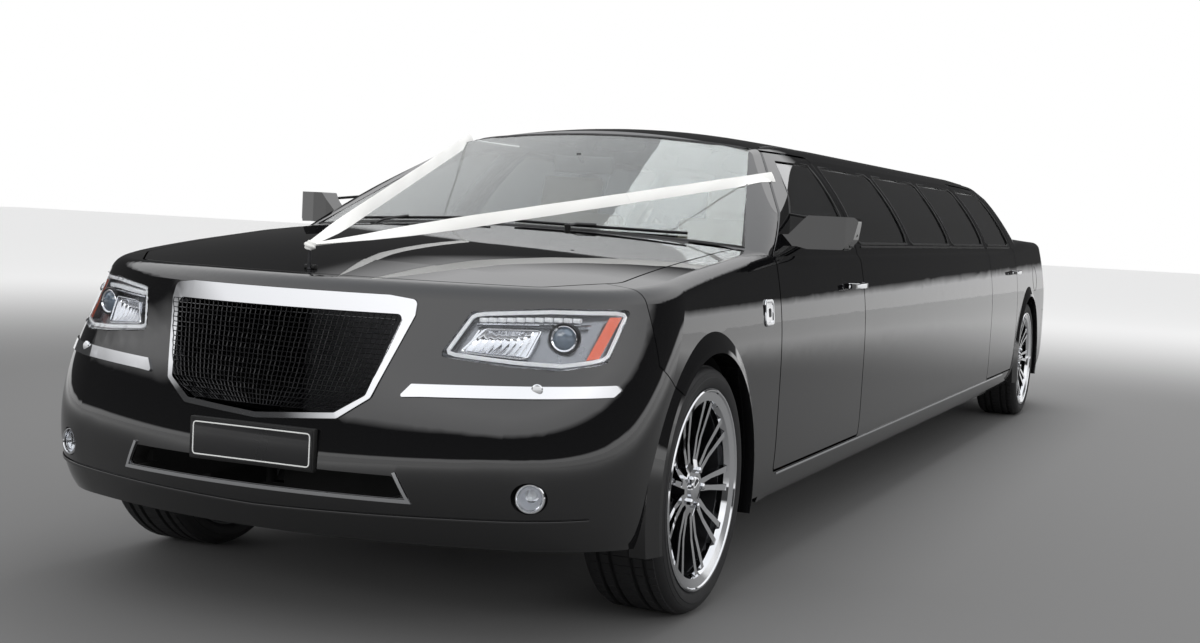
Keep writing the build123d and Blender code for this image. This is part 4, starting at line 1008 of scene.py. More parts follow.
@dataclass
class Ribbons:
    """White satin bands from a hook on the nose to both sides of the cabin.

    Args:
        start: where they are tied, in millimetres: x, station, height.
        ends: where each meets the cabin.
        split: station in metres at which each is cut, so that the bonnet can open.
        slit: half the width of the cut, as a share of the ribbon.
        shares: where the band leaves the knot and where it ends, as shares of the ribbon.
        roll: turn of the band about its own line in degrees.
        gathered: share of the ribbon along which it spreads from the knot.
        turned: share of the ribbon along which it turns.
        pleat: depth of the pleats at the knot in metres.
        cup: how far the band's edges curl, in metres.
        ripple: height of the ripples along the band in metres.
        width: width of the band in metres.
        thickness: thickness of the cloth in metres.
    """

    start: Triple = (0.0, 235.0, 1010.0)
    ends: tuple[tuple[str, Triple], ...] = (("left", (716.0, 2105.0, 1299.0)),
                                            ("right", (-608.0, 2300.0, 1413.0)))
    split: float = 1.398
    slit: float = 0.0002
    shares: Pair = (0.002, 1 - 0.004 / 1.9)
    roll: float = 62.0
    gathered: float = 0.10
    turned: float = 0.25
    pleat: float = 0.0030
    cup: float = 0.0016
    ripple: float = 0.0006
    width: float = 0.038
    thickness: float = 0.0012

    def build(self) -> None:
        """Makes the four lengths of ribbon, the hook and the knot."""
        knot = self._knot()
        for side, end in self.ends:
            cut = (self.split - self.start[1] * MM) / ((end[1] - self.start[1]) * MM)
            for part, first, last, body, node, rests in (
                    ("nose", self.shares[0], cut - self.slit, "bonnet", "ribbon_bonnet", ["bonnet"]),
                    ("cabin", cut + self.slit, self.shares[1], "body", "ribbon_screen", ["windscreen"])):
                piece = self._band(f"ribbon_{part}_{side}", end, first, last)
                dress(piece, SATIN, "satin", body, 60.0)
                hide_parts(node)
                (last - first) * self._run(end)
                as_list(rests)

    def _ends(self, end: Triple) -> tuple[Vector, Vector]:
        """Both ends of a ribbon's straight line, in metres."""
        return tuple(Vector((x * MM, at(station * MM), z * MM)) for x, station, z in (self.start, end))

    def _run(self, end: Triple) -> float:
        """Length of a ribbon from hook to cabin in metres."""
        tied, far = self._ends(end)
        return (far - tied).length

    def _band(self, name: str, end: Triple, start_share: float, end_share: float) -> Piece:
        """Makes one length of ribbon, pleated near the knot and cupped further on.

        Args:
            name: name of the piece.
            end: where the ribbon meets the cabin, in millimetres.
            start_share: where the length starts, as a share of the ribbon.
            end_share: where it ends.

        Returns:
            The piece.
        """
        tied, far = self._ends(end)
        run = (far - tied).normalized()
        side = Vector((run.y, -run.x, 0.0)).normalized()
        up = side.cross(run)
        under = Skin("bonnet")
        behind = Skin("windscreen", "body_side_left", "body_side_right", "roof_panel", "cowl_panel")

        def place(u: float, v: float) -> Vector:
            """Point on the band."""
            share = start_share + (end_share - start_share) * v
            gather = min(share / self.gathered, 1.0)
            across = (u - 0.5) * self.width * (0.62 + 0.38 * gather)
            pleat = self.pleat * (1 - gather) * cos(u * 4 * pi)
            cup = -self.cup * (2 * u - 1) ** 2 * gather + self.ripple * sin(share * 46 + u * 3)
            turn = radians(self.roll) * min(share / self.turned, 1.0)
            flat = side * cos(turn) - up * sin(turn)
            raised = (up * cos(turn) + side * sin(turn)) * (pleat + cup)
            return self._held_off(tied.lerp(far, share) + flat * across + raised, under, behind)

        return Bench.laid(name, 14, 90, place, wall=self.thickness, offset=0.0)

    def _held_off(self, point: Vector, under: Skin, behind: Skin) -> Vector:
        """Keeps a point of a ribbon just clear of the bonnet below and the screen behind.

        Args:
            point: the point.
            under: the bonnet's surface.
            behind: the cabin's surface.

        Returns:
            The point, or the nearest free one above or ahead of it.
        """
        over_bonnet, off_screen, screen_foot = 0.004, 0.002, 1.12
        below = under.under(point)
        if below is not None:
            point.z = max(point.z, below.z + over_bonnet)
        screen = behind.ahead(point)
        if below is None and screen is not None and point.z > screen_foot:
            point.y = min(point.y, screen.y - off_screen)
        return point

    def _knot(self) -> Piece:
        """Makes the hook, its two feet and the satin knot round it.

        Returns:
            The knot.
        """
        skin = Skin("bonnet")
        feet = []
        for x in (-0.011, 0.011):
            ground = skin.top(x, at(0.243), -0.001)
            feet.append(Bench.block("foot", ground + Vector((-0.006, -0.009, 0.0)),
                                    ground + Vector((0.006, 0.009, 0.012)), 0.003))
        dress(Bench.joined("ribbon_hook_feet", feet), SEAL, "dark_plastic", "bonnet")
        foot = (0.0, at(0.236), skin.top(0.0, at(0.236)).z)
        section = ((0, 0), (0, 7), (6, 5), (50, 4), (56, 6), (60, 4), (62, 0))
        stem = Bench.turned("ribbon_hook", section, foot, UP, 20)
        dress(stem, DARK_METAL, "dark_plastic", "bonnet")
        centre = Vector((0.0, at(0.2365), self.start[2] * MM))

        def place(u: float, v: float) -> Vector:
            """Point on the knot: a squashed ball with wound folds."""
            turn, rise = 2 * pi * u, pi * v
            fold = 1 + 0.09 * cos(6 * rise + 2 * turn)
            ball = (0.017 * sin(rise) * cos(turn), 0.013 * sin(rise) * sin(turn), -0.013 * cos(rise))
            return centre + Vector(ball) * fold

        knot = Bench.laid("ribbon_knot", 32, 24, place, closed=True)
        return dress(knot, SATIN, "satin", "bonnet", 70.0)


@dataclass
class NoseTrim:
    """Grille wire, blank number plate, washer caps and lower lip line.

    Args:
        grille: height and half width of the grille's opening, in metres.
        plate: half width, low and high edge of the plate in metres.
    """

    grille: tuple[Pair, ...] = ((0.600, 0.218), (0.622, 0.262), (0.648, 0.293), (0.700, 0.312),
                                (0.849, 0.349))
    plate: Triple = (0.186, 0.449, 0.548)

    def build(self) -> None:
        """Makes the trim of the nose."""
        self.skin = Skin(*FRONT_NODES)
        self._mesh()
        self._number_plate()
        section = ((-3, 0), (-3, 15), (1, 15), (3.5, 12), (4.5, 0))
        turn_pairs("washer_{}_left", (("cap", section, CHROME, "chrome"),),
                   Skin("chrome_trim").front(0.712, 0.684), (0.3, -1, 0), steps=24)
        self._lip()

    def _mesh(self) -> None:
        """Makes the fine wire mesh in the grille."""
        bars = Skin("grille_mesh")

        def place(u: float, v: float) -> Vector:
            """Point on the mesh."""
            z = 0.598 + 0.253 * v
            half = next(a[1] + (b[1] - a[1]) * (z - a[0]) / (b[0] - a[0])
                        for a, b in zip(self.grille, self.grille[1:]) if z <= b[0] or b is self.grille[-1])
            x = (2 * u - 1) * half
            return Vector((x, bars.near(x, z).y, z))

        mesh = Bench.laid("grille_wire", 44, 20, place)
        Bench.modify(mesh, "WIREFRAME", thickness=0.0042, use_even_offset=False)
        dress(mesh, MESH_BLACK, "mesh", crease=20.0)
        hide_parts("grille_mesh")

    def _number_plate(self) -> None:
        """Makes the blank plate with its pale border and its holder."""
        half, low, high = self.plate
        edge = 0.006
        y = self.skin.front(0.0, (low + high) / 2).y - 0.002
        holder = Bench.block("plate_holder", (-half - edge, y - 0.003, low - edge),
                             (half + edge, y + 0.014, high + edge), 0.004)
        dress(holder, SEAL, "dark_plastic")
        number_plate(("number_plate_front", "number_plate_border"), (-half, y - 0.0045, low),
                     (half, y - 0.003, high), AHEAD, (y - 0.0046, 0.0016))

    def _lip(self) -> None:
        """Makes the lip line low on the bumper."""
        path = [self.skin.front(x * MM, 0.338 + 0.022 * abs(x * MM), 0.001) for x in range(-840, 841, 28)]
        dress(Bench.strip("bumper_lip", path, AHEAD, 0.010, 0.010), PAINT, "black_paint")


@dataclass
class Glazing:
    """Seals round the glass, wipers, inner mirror and the dark lines along the roof.

    Args:
        front_glass: outline of the front door's glass as station and height in millimetres.
        rear_glass: outline of the rear door's glass.
        belt: height of the fixed glass's lower edge.
        head: height of its upper edge.
        span: stations of the fixed glass's front and rear edge.
        panes: number of fixed panes on each side.
        pillar: width of the pillars between them.
        lean: lean of the first pane's front edge.
    """

    front_glass: tuple[Pair, ...] = ((1800, 1068), (2648, 1068), (2720, 1364), (2318, 1364))
    rear_glass: tuple[Pair, ...] = ((5695, 1068), (6468, 1068), (6400, 1362), (5695, 1364))
    belt: float = 1068.0
    head: float = 1364.0
    span: Pair = (2762.0, 2592.0 + STRETCH / MM - 50.0)
    panes: int = 3
    pillar: float = 56.0
    lean: float = 76.0

    def build(self) -> None:
        """Makes the seals and the screen's fittings."""
        self.side_skin = Skin(*SIDE_NODES)
        self._seal("door_seal_front_left", self.front_glass, "door_front_left")
        self._seal("door_seal_rear_left", self.rear_glass, "door_rear_left")
        for i, outline in enumerate(self._pane_outlines()):
            self._seal(f"pane_seal_{i + 1}_left", outline, "body")
        self._screen_seal("screen_seal", (812, 1046, 1080), (574, 1404, 1437))
        self._screen_seal("rear_window_seal", (690, 1152, 1170), (560, 1392, 1424), rear=True)
        self._wipers()
        self._inner_mirror()
        self._roof_lines()

    def _pane_outlines(self) -> list[tuple[Pair, ...]]:
        """Outlines of the fixed panes."""
        pitch = (self.span[1] - self.span[0] + self.pillar) / self.panes
        outlines = []
        for i in range(self.panes):
            low = self.span[0] + i * pitch
            high = low + pitch - self.pillar
            outlines.append(((low, self.belt), (high, self.belt), (high, self.head),
                             (low + (self.lean if i == 0 else 0.0), self.head)))
        return outlines

    def _seal(self, name: str, outline: Sequence[Pair], body: str) -> None:
        """Makes one pair of window seals.

        Args:
            name: name of the left-hand piece.
            outline: the glass's outline as station and height in millimetres.
            body: the left-hand body.
        """
        middle = Vector((sum(p[0] for p in outline), sum(p[1] for p in outline))) / len(outline)
        path = []
        for spot in spaced(round_corners(outline, 16), 60):
            outward = (spot - middle).normalized()
            outer, inner = spot + outward * 7, spot - outward
            surface = self.side_skin.side(at(outer.x * MM), outer.y * MM).x
            path.append(Vector((surface - 0.0018, at(inner.x * MM), inner.y * MM)))
        seal = Bench.strip(name, path, (1, 0, 0.4), 0.012, 0.007, closed=True)
        dress_both(seal, SEAL, "dark_plastic", body)

    def _screen_seal(self, name: str, foot: Triple, head: Triple, rear: bool = False) -> None:
        """Makes the black seal round the windscreen or the rear window.

        Args:
            name: name of the piece.
            foot: half width of the lower edge and its height at the ends and in the middle, in
                millimetres.
            head: the same for the upper edge.
            rear: whether it is the rear window's.
        """
        skin = Skin("windscreen", "rear_window", "roof_panel", "body_side_left", "body_side_right",
                    "cowl_panel", "rear_deck")
        look = skin.back if rear else skin.front

        def bowed(share: float, edge: Triple) -> Pair:
            """Point on a bowed edge at a share of its half width."""
            half, end, middle = edge
            x = share * half
            return x, middle - (middle - end) * (x / half) ** 2

        outline = [bowed(i / 20, foot) for i in range(-20, 21)]
        outline += [bowed(i / 14, head) for i in range(14, -15, -1)]
        path = [look(x * 0.992 * MM, (z + (3 if z < 1250 else -3)) * MM, 0.0005) for x, z in outline]
        out = [Vector((x / 900, 0.55 if rear else -0.55, 0.8)) for x, z in outline]
        dress(Bench.strip(name, path, out, 0.013, 0.005, closed=True), SEAL, "dark_plastic")

    def _wipers(self) -> None:
        """Makes two wipers parked at the screen's foot."""
        skin = Skin("windscreen", "cowl_panel")
        out = Vector((0, -0.6, 0.8))
        for name, inner, outer, x in (("wiper_driver", (-0.70, 1.070), (-0.06, 1.098), -0.50),
                                      ("wiper_passenger", (0.04, 1.092), (0.62, 1.080), 0.24)):
            points = [[a + (b - a) * i / 12 for a, b in zip(inner, outer)] for i in range(13)]
            blade_path = [skin.front(*point) + out * 0.007 for point in points]
            blade = Bench.strip("blade", blade_path, out, 0.007, 0.010)
            base = skin.top(x, at(1.335 + 0.05), 0.012)
            middle = blade_path[6] + out * 0.008
            arm_path = [base, base.lerp(middle, 0.35) + out * 0.008, middle]
            arm = Bench.strip("arm", arm_path, out, 0.011, 0.005)
            hub = Bench.turned("hub", ((-14, 0), (-14, 9), (4, 11), (8, 8), (9, 0)), base, UP, 16)
            dress(Bench.joined(name, [blade, arm, hub]), SEAL, "dark_plastic")

    def _inner_mirror(self) -> None:
        """Makes the mirror that hangs inside the screen."""
        spot = Skin("windscreen").front(0.0, 1.345)
        back = spot + Vector((0.0, 0.060, -0.035))
        half = Vector((0.12, 0.010, 0.032))
        shell = Bench.block("inner_mirror_shell", back - half, back + half, 0.010, 3)
        stalk = Bench.strip("stalk", [spot + Vector((0, 0.009, 0.004)), back + Vector((0, -0.006, 0.01))],
                            LEFT, 0.012, 0.018)
        dress(Bench.joined("inner_mirror", [shell, stalk]), PLASTIC, "dark_plastic")

    def _roof_lines(self) -> None:
        """Makes the thin dark lines along the roof's edges."""
        skin = Skin("roof_panel", "body_side_left", "windscreen")
        path = [skin.top(0.572, at(2.36 + 0.09 * i), 0.0002) for i in range(46)]
        dress_both(Bench.strip("roof_line_left", path, (0.35, 0, 1), 0.009, 0.004), SEAL, "dark_plastic")


@dataclass
class SideTrim:
    """Bright handles and sill line, mirror glass, side lamps, belt mouldings and fuel flap.

    Args:
        handles: station of each door's handle in metres.
        handle_z: height of the handles.
        sill_z: height of the sill line.
        belt_z: height of the belt mouldings.
        belts: part, first and last station and body of each moulding.
        lamp: station and height range of the side lamp in metres.
    """

    handles: tuple[tuple[str, float], ...] = (("front", 2.535), ("rear", 6.418))
    handle_z: float = 0.9125
    sill_z: float = 0.314
    belt_z: float = 1.0565
    belts: tuple[tuple[str, float, float, str], ...] = (
        ("front", 1.800, 2.660, "door_front_left"), ("middle", 2.790, 5.580, "body"),
        ("rear", 5.668, 6.470, "door_rear_left"))
    lamp: tuple[float, float, float, float] = (1.405, 1.480, 0.812, 0.886)

    def build(self) -> None:
        """Makes the trim of both sides."""
        self.skin = Skin(*SIDE_NODES)
        for end, station in self.handles:
            self._handle(end, at(station))
        path = [self.skin.side(at(1.62 + 0.12 * i), self.sill_z, 0.0005) for i in range(39)]
        dress_both(Bench.strip("sill_line_left", path, LEFT, 0.009, 0.006), CHROME, "chrome")
        self._side_lamp()
        self._mirror_glass()
        self._belt_mouldings()
        self._fuel_flap()

    def _handle(self, end: str, y: float) -> None:
        """Makes one pair of strap handles with their locks.

        Args:
            end: front or rear.
            y: Y of the handle's middle.
        """
        shares = [-1 + i / 8 for i in range(17)]
        path = [Vector((0.9262 + 0.0295 * (1 - abs(share) ** 4), y + share * 0.104, self.handle_z))
                for share in shares]
        strap = Bench.strip("strap", path, LEFT, 0.021, 0.0095)
        surface = self.skin.side(y - 0.13, self.handle_z).x
        lock = Bench.turned("lock", ((-4, 0), (-4, 9), (1, 9), (2.5, 7), (3, 0)),
                            (surface, y + 0.125, self.handle_z), LEFT, 24)
        dress_both(Bench.joined(f"handle_{end}_left", [strap, lock]), CHROME, "chrome", f"door_{end}_left")

    def _side_lamp(self) -> None:
        """Makes the side lamps: bright bezel, pale lens and dark middle."""
        v0, v1, z0, z1 = self.lamp
        path = [self.skin.side(at(v), z, 0.002) for v, z in rounded_box((v0, z0), (v1, z1), 0.014)]
        bezel = Bench.strip("side_lamp_bezel_left", path, LEFT, 0.013, 0.008, closed=True)
        dress_both(bezel, CHROME, "chrome")
        for part, margin, lift, finish in (("lens", 0.004, 0.002, LAMP_WHITE),
                                           ("eye", 0.020, 0.0035, DARK_METAL)):
            def place(u: float, v: float) -> Vector:
                """Point on the patch, which is a little domed."""
                dome = 0.003 * (1 - (2 * u - 1) ** 2) * (1 - (2 * v - 1) ** 2)
                station = v0 + margin + (v1 - v0 - 2 * margin) * u
                return self.skin.side(at(station), z0 + margin + (z1 - z0 - 2 * margin) * v, lift + dome)

            patch = Bench.laid(f"side_lamp_{part}_left", 10, 10, place, wall=0.002)
            dress_both(patch, finish, "lamp_clear")

    def _mirror_glass(self) -> None:
        """Makes the glass in the door mirrors."""
        skin = Skin("door_front_left")
        low = ((0.975, 1.068), (1.052, 1.066), (1.078, 1.092))
        high = ((0.968, 1.150), (1.040, 1.152), (1.086, 1.150))

        def place(u: float, v: float) -> Vector:
            """Point on the glass, from its outer to its inner end."""
            spot = along(low, 1 - u).lerp(along(high, 1 - u), v)
            return skin.back(spot.x, spot.y, 0.0012)

        glass = Bench.laid("mirror_glass_left", 12, 8, place, wall=0.002, offset=0.0)
        dress_both(glass, MIRROR, "glass", "door_front_left")

    def _belt_mouldings(self) -> None:
        """Makes the dark mouldings under the side glass, each on the body that carries it."""
        for part, v0, v1, body in self.belts:
            count = max(int((v1 - v0) / 0.07), 4)
            path = [self.skin.side(at(v0 + (v1 - v0) * i / count), self.belt_z, 0.0005)
                    for i in range(count + 1)]
            bar = Bench.strip(f"belt_moulding_{part}_left", path, (1, 0, 0.4), 0.010, 0.006)
            dress_both(bar, SEAL, "dark_plastic", body)

    def _fuel_flap(self) -> None:
        """Makes the round line of the fuel flap on the left rear quarter."""
        (y, z), radius, count = (at(6.72 + 0.55), 0.86), 0.078, 40
        turns = [2 * pi * i / count for i in range(count)]
        path = [self.skin.side(y + radius * cos(turn), z + radius * sin(turn), -0.0004) for turn in turns]
        dress(Bench.strip("fuel_flap_left", path, LEFT, 0.003, 0.003, closed=True), SEAL, "dark_plastic")


@dataclass
class Tail:
    """Rear lamps' frames, exhaust tips, rear plate, lid moulding and high brake lamp.

    Args:
        lamp: outline of a tail lamp in the rear view, x and height in metres.
        plate: half width, low and high edge of the plate in metres.
    """

    lamp: tuple[Pair, ...] = ((0.682, 0.756), (0.872, 0.764), (0.886, 0.972), (0.708, 0.986),
                              (0.680, 0.970))
    plate: Triple = (0.186, 0.712, 0.811)

    def build(self) -> None:
        """Makes the tail's pieces."""
        skin = Skin("tail_lamps", "body_side_left", "rear_bumper", "boot_lid", "body_side_right")
        path = [skin.back(spot.x, spot.y, 0.0005) for spot in spaced(round_corners(self.lamp, 0.016), 0.02)]
        bezel = Bench.strip("tail_lamp_bezel_left", path, (0.3, 1, 0), 0.009, 0.006, closed=True)
        dress_both(bezel, CHROME, "chrome")
        for i, z in enumerate((0.835, 0.905)):
            path = [skin.back(0.700 + 0.165 * j / 8, z, 0.0004) for j in range(9)]
            bar = Bench.strip(f"tail_lamp_bar_{i + 1}_left", path, (0.2, 1, 0), 0.005, 0.004)
            dress_both(bar, REFLECTOR, "chrome")
        tip = ((-70, 27.2), (-70, 30), (-20, 34), (46, 36), (50, 34.6), (46, 33), (-20, 31), (-60, 27.2))
        turn_pairs("exhaust_{}_left", (("tip", tip, CHROME, "chrome"),), (0.340, at(7.960), 0.196), BACK)
        self._plate(skin)
        self._brake_lamp()

    def _plate(self, skin: Skin) -> None:
        """Makes the blank rear plate and the lid's bright moulding.

        Args:
            skin: the tail's surface.
        """
        half, low, high = self.plate
        y = skin.back(0.0, 0.760).y
        number_plate(("number_plate_rear", "number_plate_rear_border"), (-half, y + 0.0005, low),
                     (half, y + 0.0025, high), BACK, (y + 0.0028, 0.0014), "boot_lid")
        path = [skin.back(x * MM, 0.846, 0.002) for x in range(-330, 331, 33)]
        dress(Bench.strip("lid_moulding", path, BACK, 0.024, 0.012), CHROME, "chrome", "boot_lid")

    def _brake_lamp(self) -> None:
        """Makes the high brake lamp behind the rear window."""
        low = Skin("rear_window", "roof_panel").back(0.0, 1.395) + Vector((-0.16, -0.045, -0.010))
        lamp = Bench.block("high_brake_lamp", low, low + Vector((0.32, 0.025, 0.020)), 0.004)
        dress(lamp, LENS_RED, "lamp_red")


@dataclass
class Cushion:
    """One upholstered block: crowned, with pulled-in edges and sewn channels.

    Args:
        name: name of the piece.
        node: the carried-over node that it stands for.
        low: lowest corner before it is turned, x, station and height in millimetres.
        high: highest corner.
        tilt: lean back about the middle in degrees.
        crown: how far the broad faces bulge, in millimetres.
        channels: sewn channels along x and along the station.
        thin: axis on which the cushion is thin: 1 for a backrest, 2 for a seat, 0 for a side back.
    """

    name: str
    node: str
    low: Triple
    high: Triple
    tilt: float = 0.0
    crown: float = 14.0
    channels: tuple[int, int] = (1, 1)
    thin: int = 2

    CUTS = 17               # cuts of the plain block along each edge
    PINCH = 0.16            # how far the broad faces draw in towards their edges
    CORNER_PULL = 0.02      # how far the corners draw in
    EDGE_SHARE = 0.72       # thickness left at the edges
    SEAM_DEPTH = 0.55       # share of the bulge that a sewn channel takes away
    SEAM_STEEPNESS = 9      # larger makes a narrower channel

    def build(self) -> None:
        """Makes the cushion."""
        half = [(b - a) / 2 * MM for a, b in zip(self.low, self.high)]
        middle = [(a + b) / 2 * MM for a, b in zip(self.low, self.high)]
        centre = Vector((middle[0], at(middle[1]), middle[2]))
        Bench.clear()
        bpy.ops.mesh.primitive_cube_add(size=2.0)
        piece = Bench.start(self.name)
        Bench.edit(piece)
        bpy.ops.mesh.subdivide(number_cuts=self.CUTS)
        Bench.close()
        turn = Matrix.Rotation(radians(-self.tilt), 3, "X")
        broad = [axis for axis in range(3) if axis != self.thin]
        for vertex in piece.data.vertices:
            vertex.co = centre + turn @ self._shaped(vertex.co, half, broad)
        Bench.modify(piece, "SUBSURF", levels=1, render_levels=1)
        dress(piece, LEATHER, "leather", crease=50.0)
        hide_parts(self.node)

    def _shaped(self, raw: Vector, half: Sequence[float], broad: Sequence[int]) -> Vector:
        """Moves a point of the plain block to its place on the cushion.

        Args:
            raw: point on a block from -1 to 1.
            half: half sizes in metres.
            broad: the two axes of the broad faces.

        Returns:
            The point relative to the cushion's middle.
        """
        a, b, t = raw[broad[0]], raw[broad[1]], raw[self.thin]
        corner = (abs(a * b)) ** 3
        rounding = 1 - self.PINCH * abs(t) ** 3 * min(half) / max(half[broad[0]], 0.05)
        full = (1 - a ** 6) * (1 - b ** 6)
        point = Vector((0.0, 0.0, 0.0))
        sewn = 0.0
        for share, axis, count in ((a, broad[0], self.channels[0]), (b, broad[1], self.channels[1])):
            point[axis] = share * half[axis] * rounding * (1 - self.CORNER_PULL * corner)
            place = (share + 1) / 2 * count
            if 0 < round(place) < count:
                sewn = max(sewn, 1 - abs(place - round(place)) * self.SEAM_STEEPNESS)
        edge = self.EDGE_SHARE + (1 - self.EDGE_SHARE) * full
        swell = self.crown * MM * full * (1 - self.SEAM_DEPTH * sewn)
        point[self.thin] = t * ((half[self.thin] - self.crown * MM) * edge + swell)
        return point


class Cabin:
    """Seats, lounge benches, bar fittings and dashboard details."""

    def build(self) -> None:
        """Makes what shows of the interior."""
        self._front_seats()
        self._lounge()
        self._bar()
        self._dashboard()

    def _front_seats(self) -> None:
        """Makes both front seats with their bases."""
        node = "front_seats"
        for side, x in (("left", 370), ("right", -370)):
            for cushion in (
                    Cushion(f"seat_cushion_{side}", node, (x - 255, 2115, 395), (x + 255, 2635, 556),
                            channels=(3, 1)),
                    Cushion(f"seat_back_{side}", node, (x - 245, 2618, 535), (x + 245, 2742, 1145), tilt=16,
                            channels=(3, 1), thin=1),
                    Cushion(f"seat_head_{side}", node, (x - 130, 2718, 1128), (x + 130, 2812, 1282),
                            tilt=16, crown=10, thin=1)):
                cushion.build()
            base = Bench.block(f"seat_base_{side}", ((x - 198) * MM, at(2.182), 0.2625),
                               ((x + 198) * MM, at(2.558), 0.402), 0.012)
            dress(base, PLASTIC, "dark_plastic")
            posts = [Bench.turned("post", ((0, 0), (0, 6), (130, 6), (130, 0)),
                                  ((x + dx) * MM, at(2.742), 1.065), (0, 0.27, 1), 12) for dx in (-55, 55)]
            dress(Bench.joined(f"seat_posts_{side}", posts), CHROME, "chrome")

    def _lounge(self) -> None:
        """Makes the rear bench and the side bench with their plinths."""
        node = "lounge_seats"
        for cushion in (
                Cushion("bench_cushion", node, (-705, 6045, 405), (705, 6555, 612), crown=18,
                        channels=(3, 1)),
                Cushion("bench_back", node, (-475, 6569, 588), (475, 6711, 1082), tilt=14, crown=18,
                        channels=(3, 2), thin=1),
                Cushion("side_cushion", node, (-785, 3125, 395), (-305, 5475, 557), crown=16,
                        channels=(1, 8)),
                Cushion("side_back", node, (-797, 3125, 545), (-684, 5475, 926), crown=12, channels=(8, 1),
                        thin=0)):
            cushion.build()
        for name, low, high in (("bench_plinth", (-0.698, 6.092, 0.2625), (0.698, 6.518, 0.415)),
                                ("side_plinth", (-0.744, 3.152, 0.2625), (-0.332, 5.448, 0.405))):
            plinth = Bench.block(name, (low[0], at(low[1]), low[2]), (high[0], at(high[1]), high[2]), 0.008)
            dress(plinth, PLASTIC, "dark_plastic")

    def _bar(self) -> None:
        """Makes the bar's rail, a row of glasses and the ice bowl."""
        top = 0.8305
        rail_path = [Vector((0.436, at(3.36 + 0.094 * i), 0.842)) for i in range(21)]
        dress(Bench.strip("bar_rail", rail_path, UP, 0.014, 0.014), CHROME, "chrome")
        section = ((0, 0), (0, 26), (2, 27), (3, 4), (62, 3.4), (68, 12), (90, 27), (140, 31), (140, 29.6),
                   (90, 25), (71, 8), (70, 0))
        glasses = [Bench.turned("stem", section, (0.60, at(3.75 + 0.10 * i), top), UP, 24)
                   for i in range(4)]
        dress(Bench.joined("bar_glasses", glasses), LENS_CLEAR, "glass")
        section = ((0, 0), (0, 52), (90, 74), (150, 80), (152, 78), (92, 72), (4, 50), (4, 0))
        dress(Bench.turned("ice_bowl", section, (0.59, at(4.55), top), UP, 40), CHROME, "chrome")

    def _dashboard(self) -> None:
        """Makes the binnacle's dials, the middle screen and the vents."""
        skin = Skin("dashboard")
        section = ((-3, 34), (-3, 38), (6, 38), (7, 36), (6, 34))
        dials = [Bench.turned("dial", section, skin.back(x, 0.900), (0, 1, 0.2), 40)
                 for x in (-0.455, -0.370, -0.285)]
        dress(Bench.joined("dial_rings", dials), CHROME, "chrome")
        spot = skin.back(0.0, 0.860)
        screen = Bench.block("middle_screen", spot + Vector((-0.10, -0.004, -0.055)),
                             spot + Vector((0.10, 0.006, 0.055)), 0.004)
        dress(screen, PLATE_BLACK, "dark_plastic")
        vents = []
        for x in (-0.62, -0.17, 0.17, 0.62):
            spot = skin.back(x, 0.880)
            outline = rounded_box((-0.045, -0.030), (0.045, 0.030), 0.012)
            path = [spot + Vector((dx, 0.002, dz)) for dx, dz in outline]
            vents.append(Bench.strip("vent", path, BACK, 0.006, 0.008, closed=True))
            for i in range(-2, 3):
                slat = [spot + Vector((dx, 0.001, i * 0.011)) for dx in (-0.043, 0.043)]
                vents.append(Bench.strip("slat", slat, BACK, 0.003, 0.006))
        dress(Bench.joined("dash_vents", vents), CHROME, "chrome")


@dataclass
class Viewpoint:
    """Camera at the place the photograph was taken from.

    Args:
        place: camera position in metres.
        yaw: turn to the left of straight ahead, in degrees.
        pitch: angle below the horizon, in degrees.
        roll: turn about the view axis, in degrees.
        sensor: width of the sensor in millimetres.
        focal_share: focal length as a share of the frame's width.
        shift: vertical shift as a share of the frame's width.
    """

    place: Triple = (2.42, -7.505, 1.13)
    yaw: float = 22.95
    pitch: float = 3.10
    roll: float = 2.87
    sensor: float = 36.0
    focal_share: float = 1613.9 / 1200
    shift: float = -0.0157

    def build(self) -> None:
        """Makes the camera and gives it to the scene."""
        yaw, pitch, roll = radians(self.yaw), radians(self.pitch), radians(self.roll)
        back = Vector((sin(yaw) * cos(pitch), -cos(yaw) * cos(pitch), sin(pitch)))
        right = Vector((cos(yaw), sin(yaw), 0.0))
        up = back.cross(right)
        turned_right = right * cos(roll) + up * sin(roll)
        turned_up = up * cos(roll) - right * sin(roll)
        data = bpy.data.cameras.new("viewpoint")
        data.sensor_width = self.sensor
        data.sensor_fit = "HORIZONTAL"
        data.lens = self.sensor * self.focal_share
        data.shift_y = self.shift
        data.clip_end = 200.0
        camera = bpy.data.objects.new("viewpoint", data)
        bpy.context.scene.collection.objects.link(camera)
        turn = Matrix((turned_right, turned_up, back)).transposed().to_4x4()
        camera.matrix_world = Matrix.Translation(Vector(self.place)) @ turn
        bpy.context.scene.camera = camera


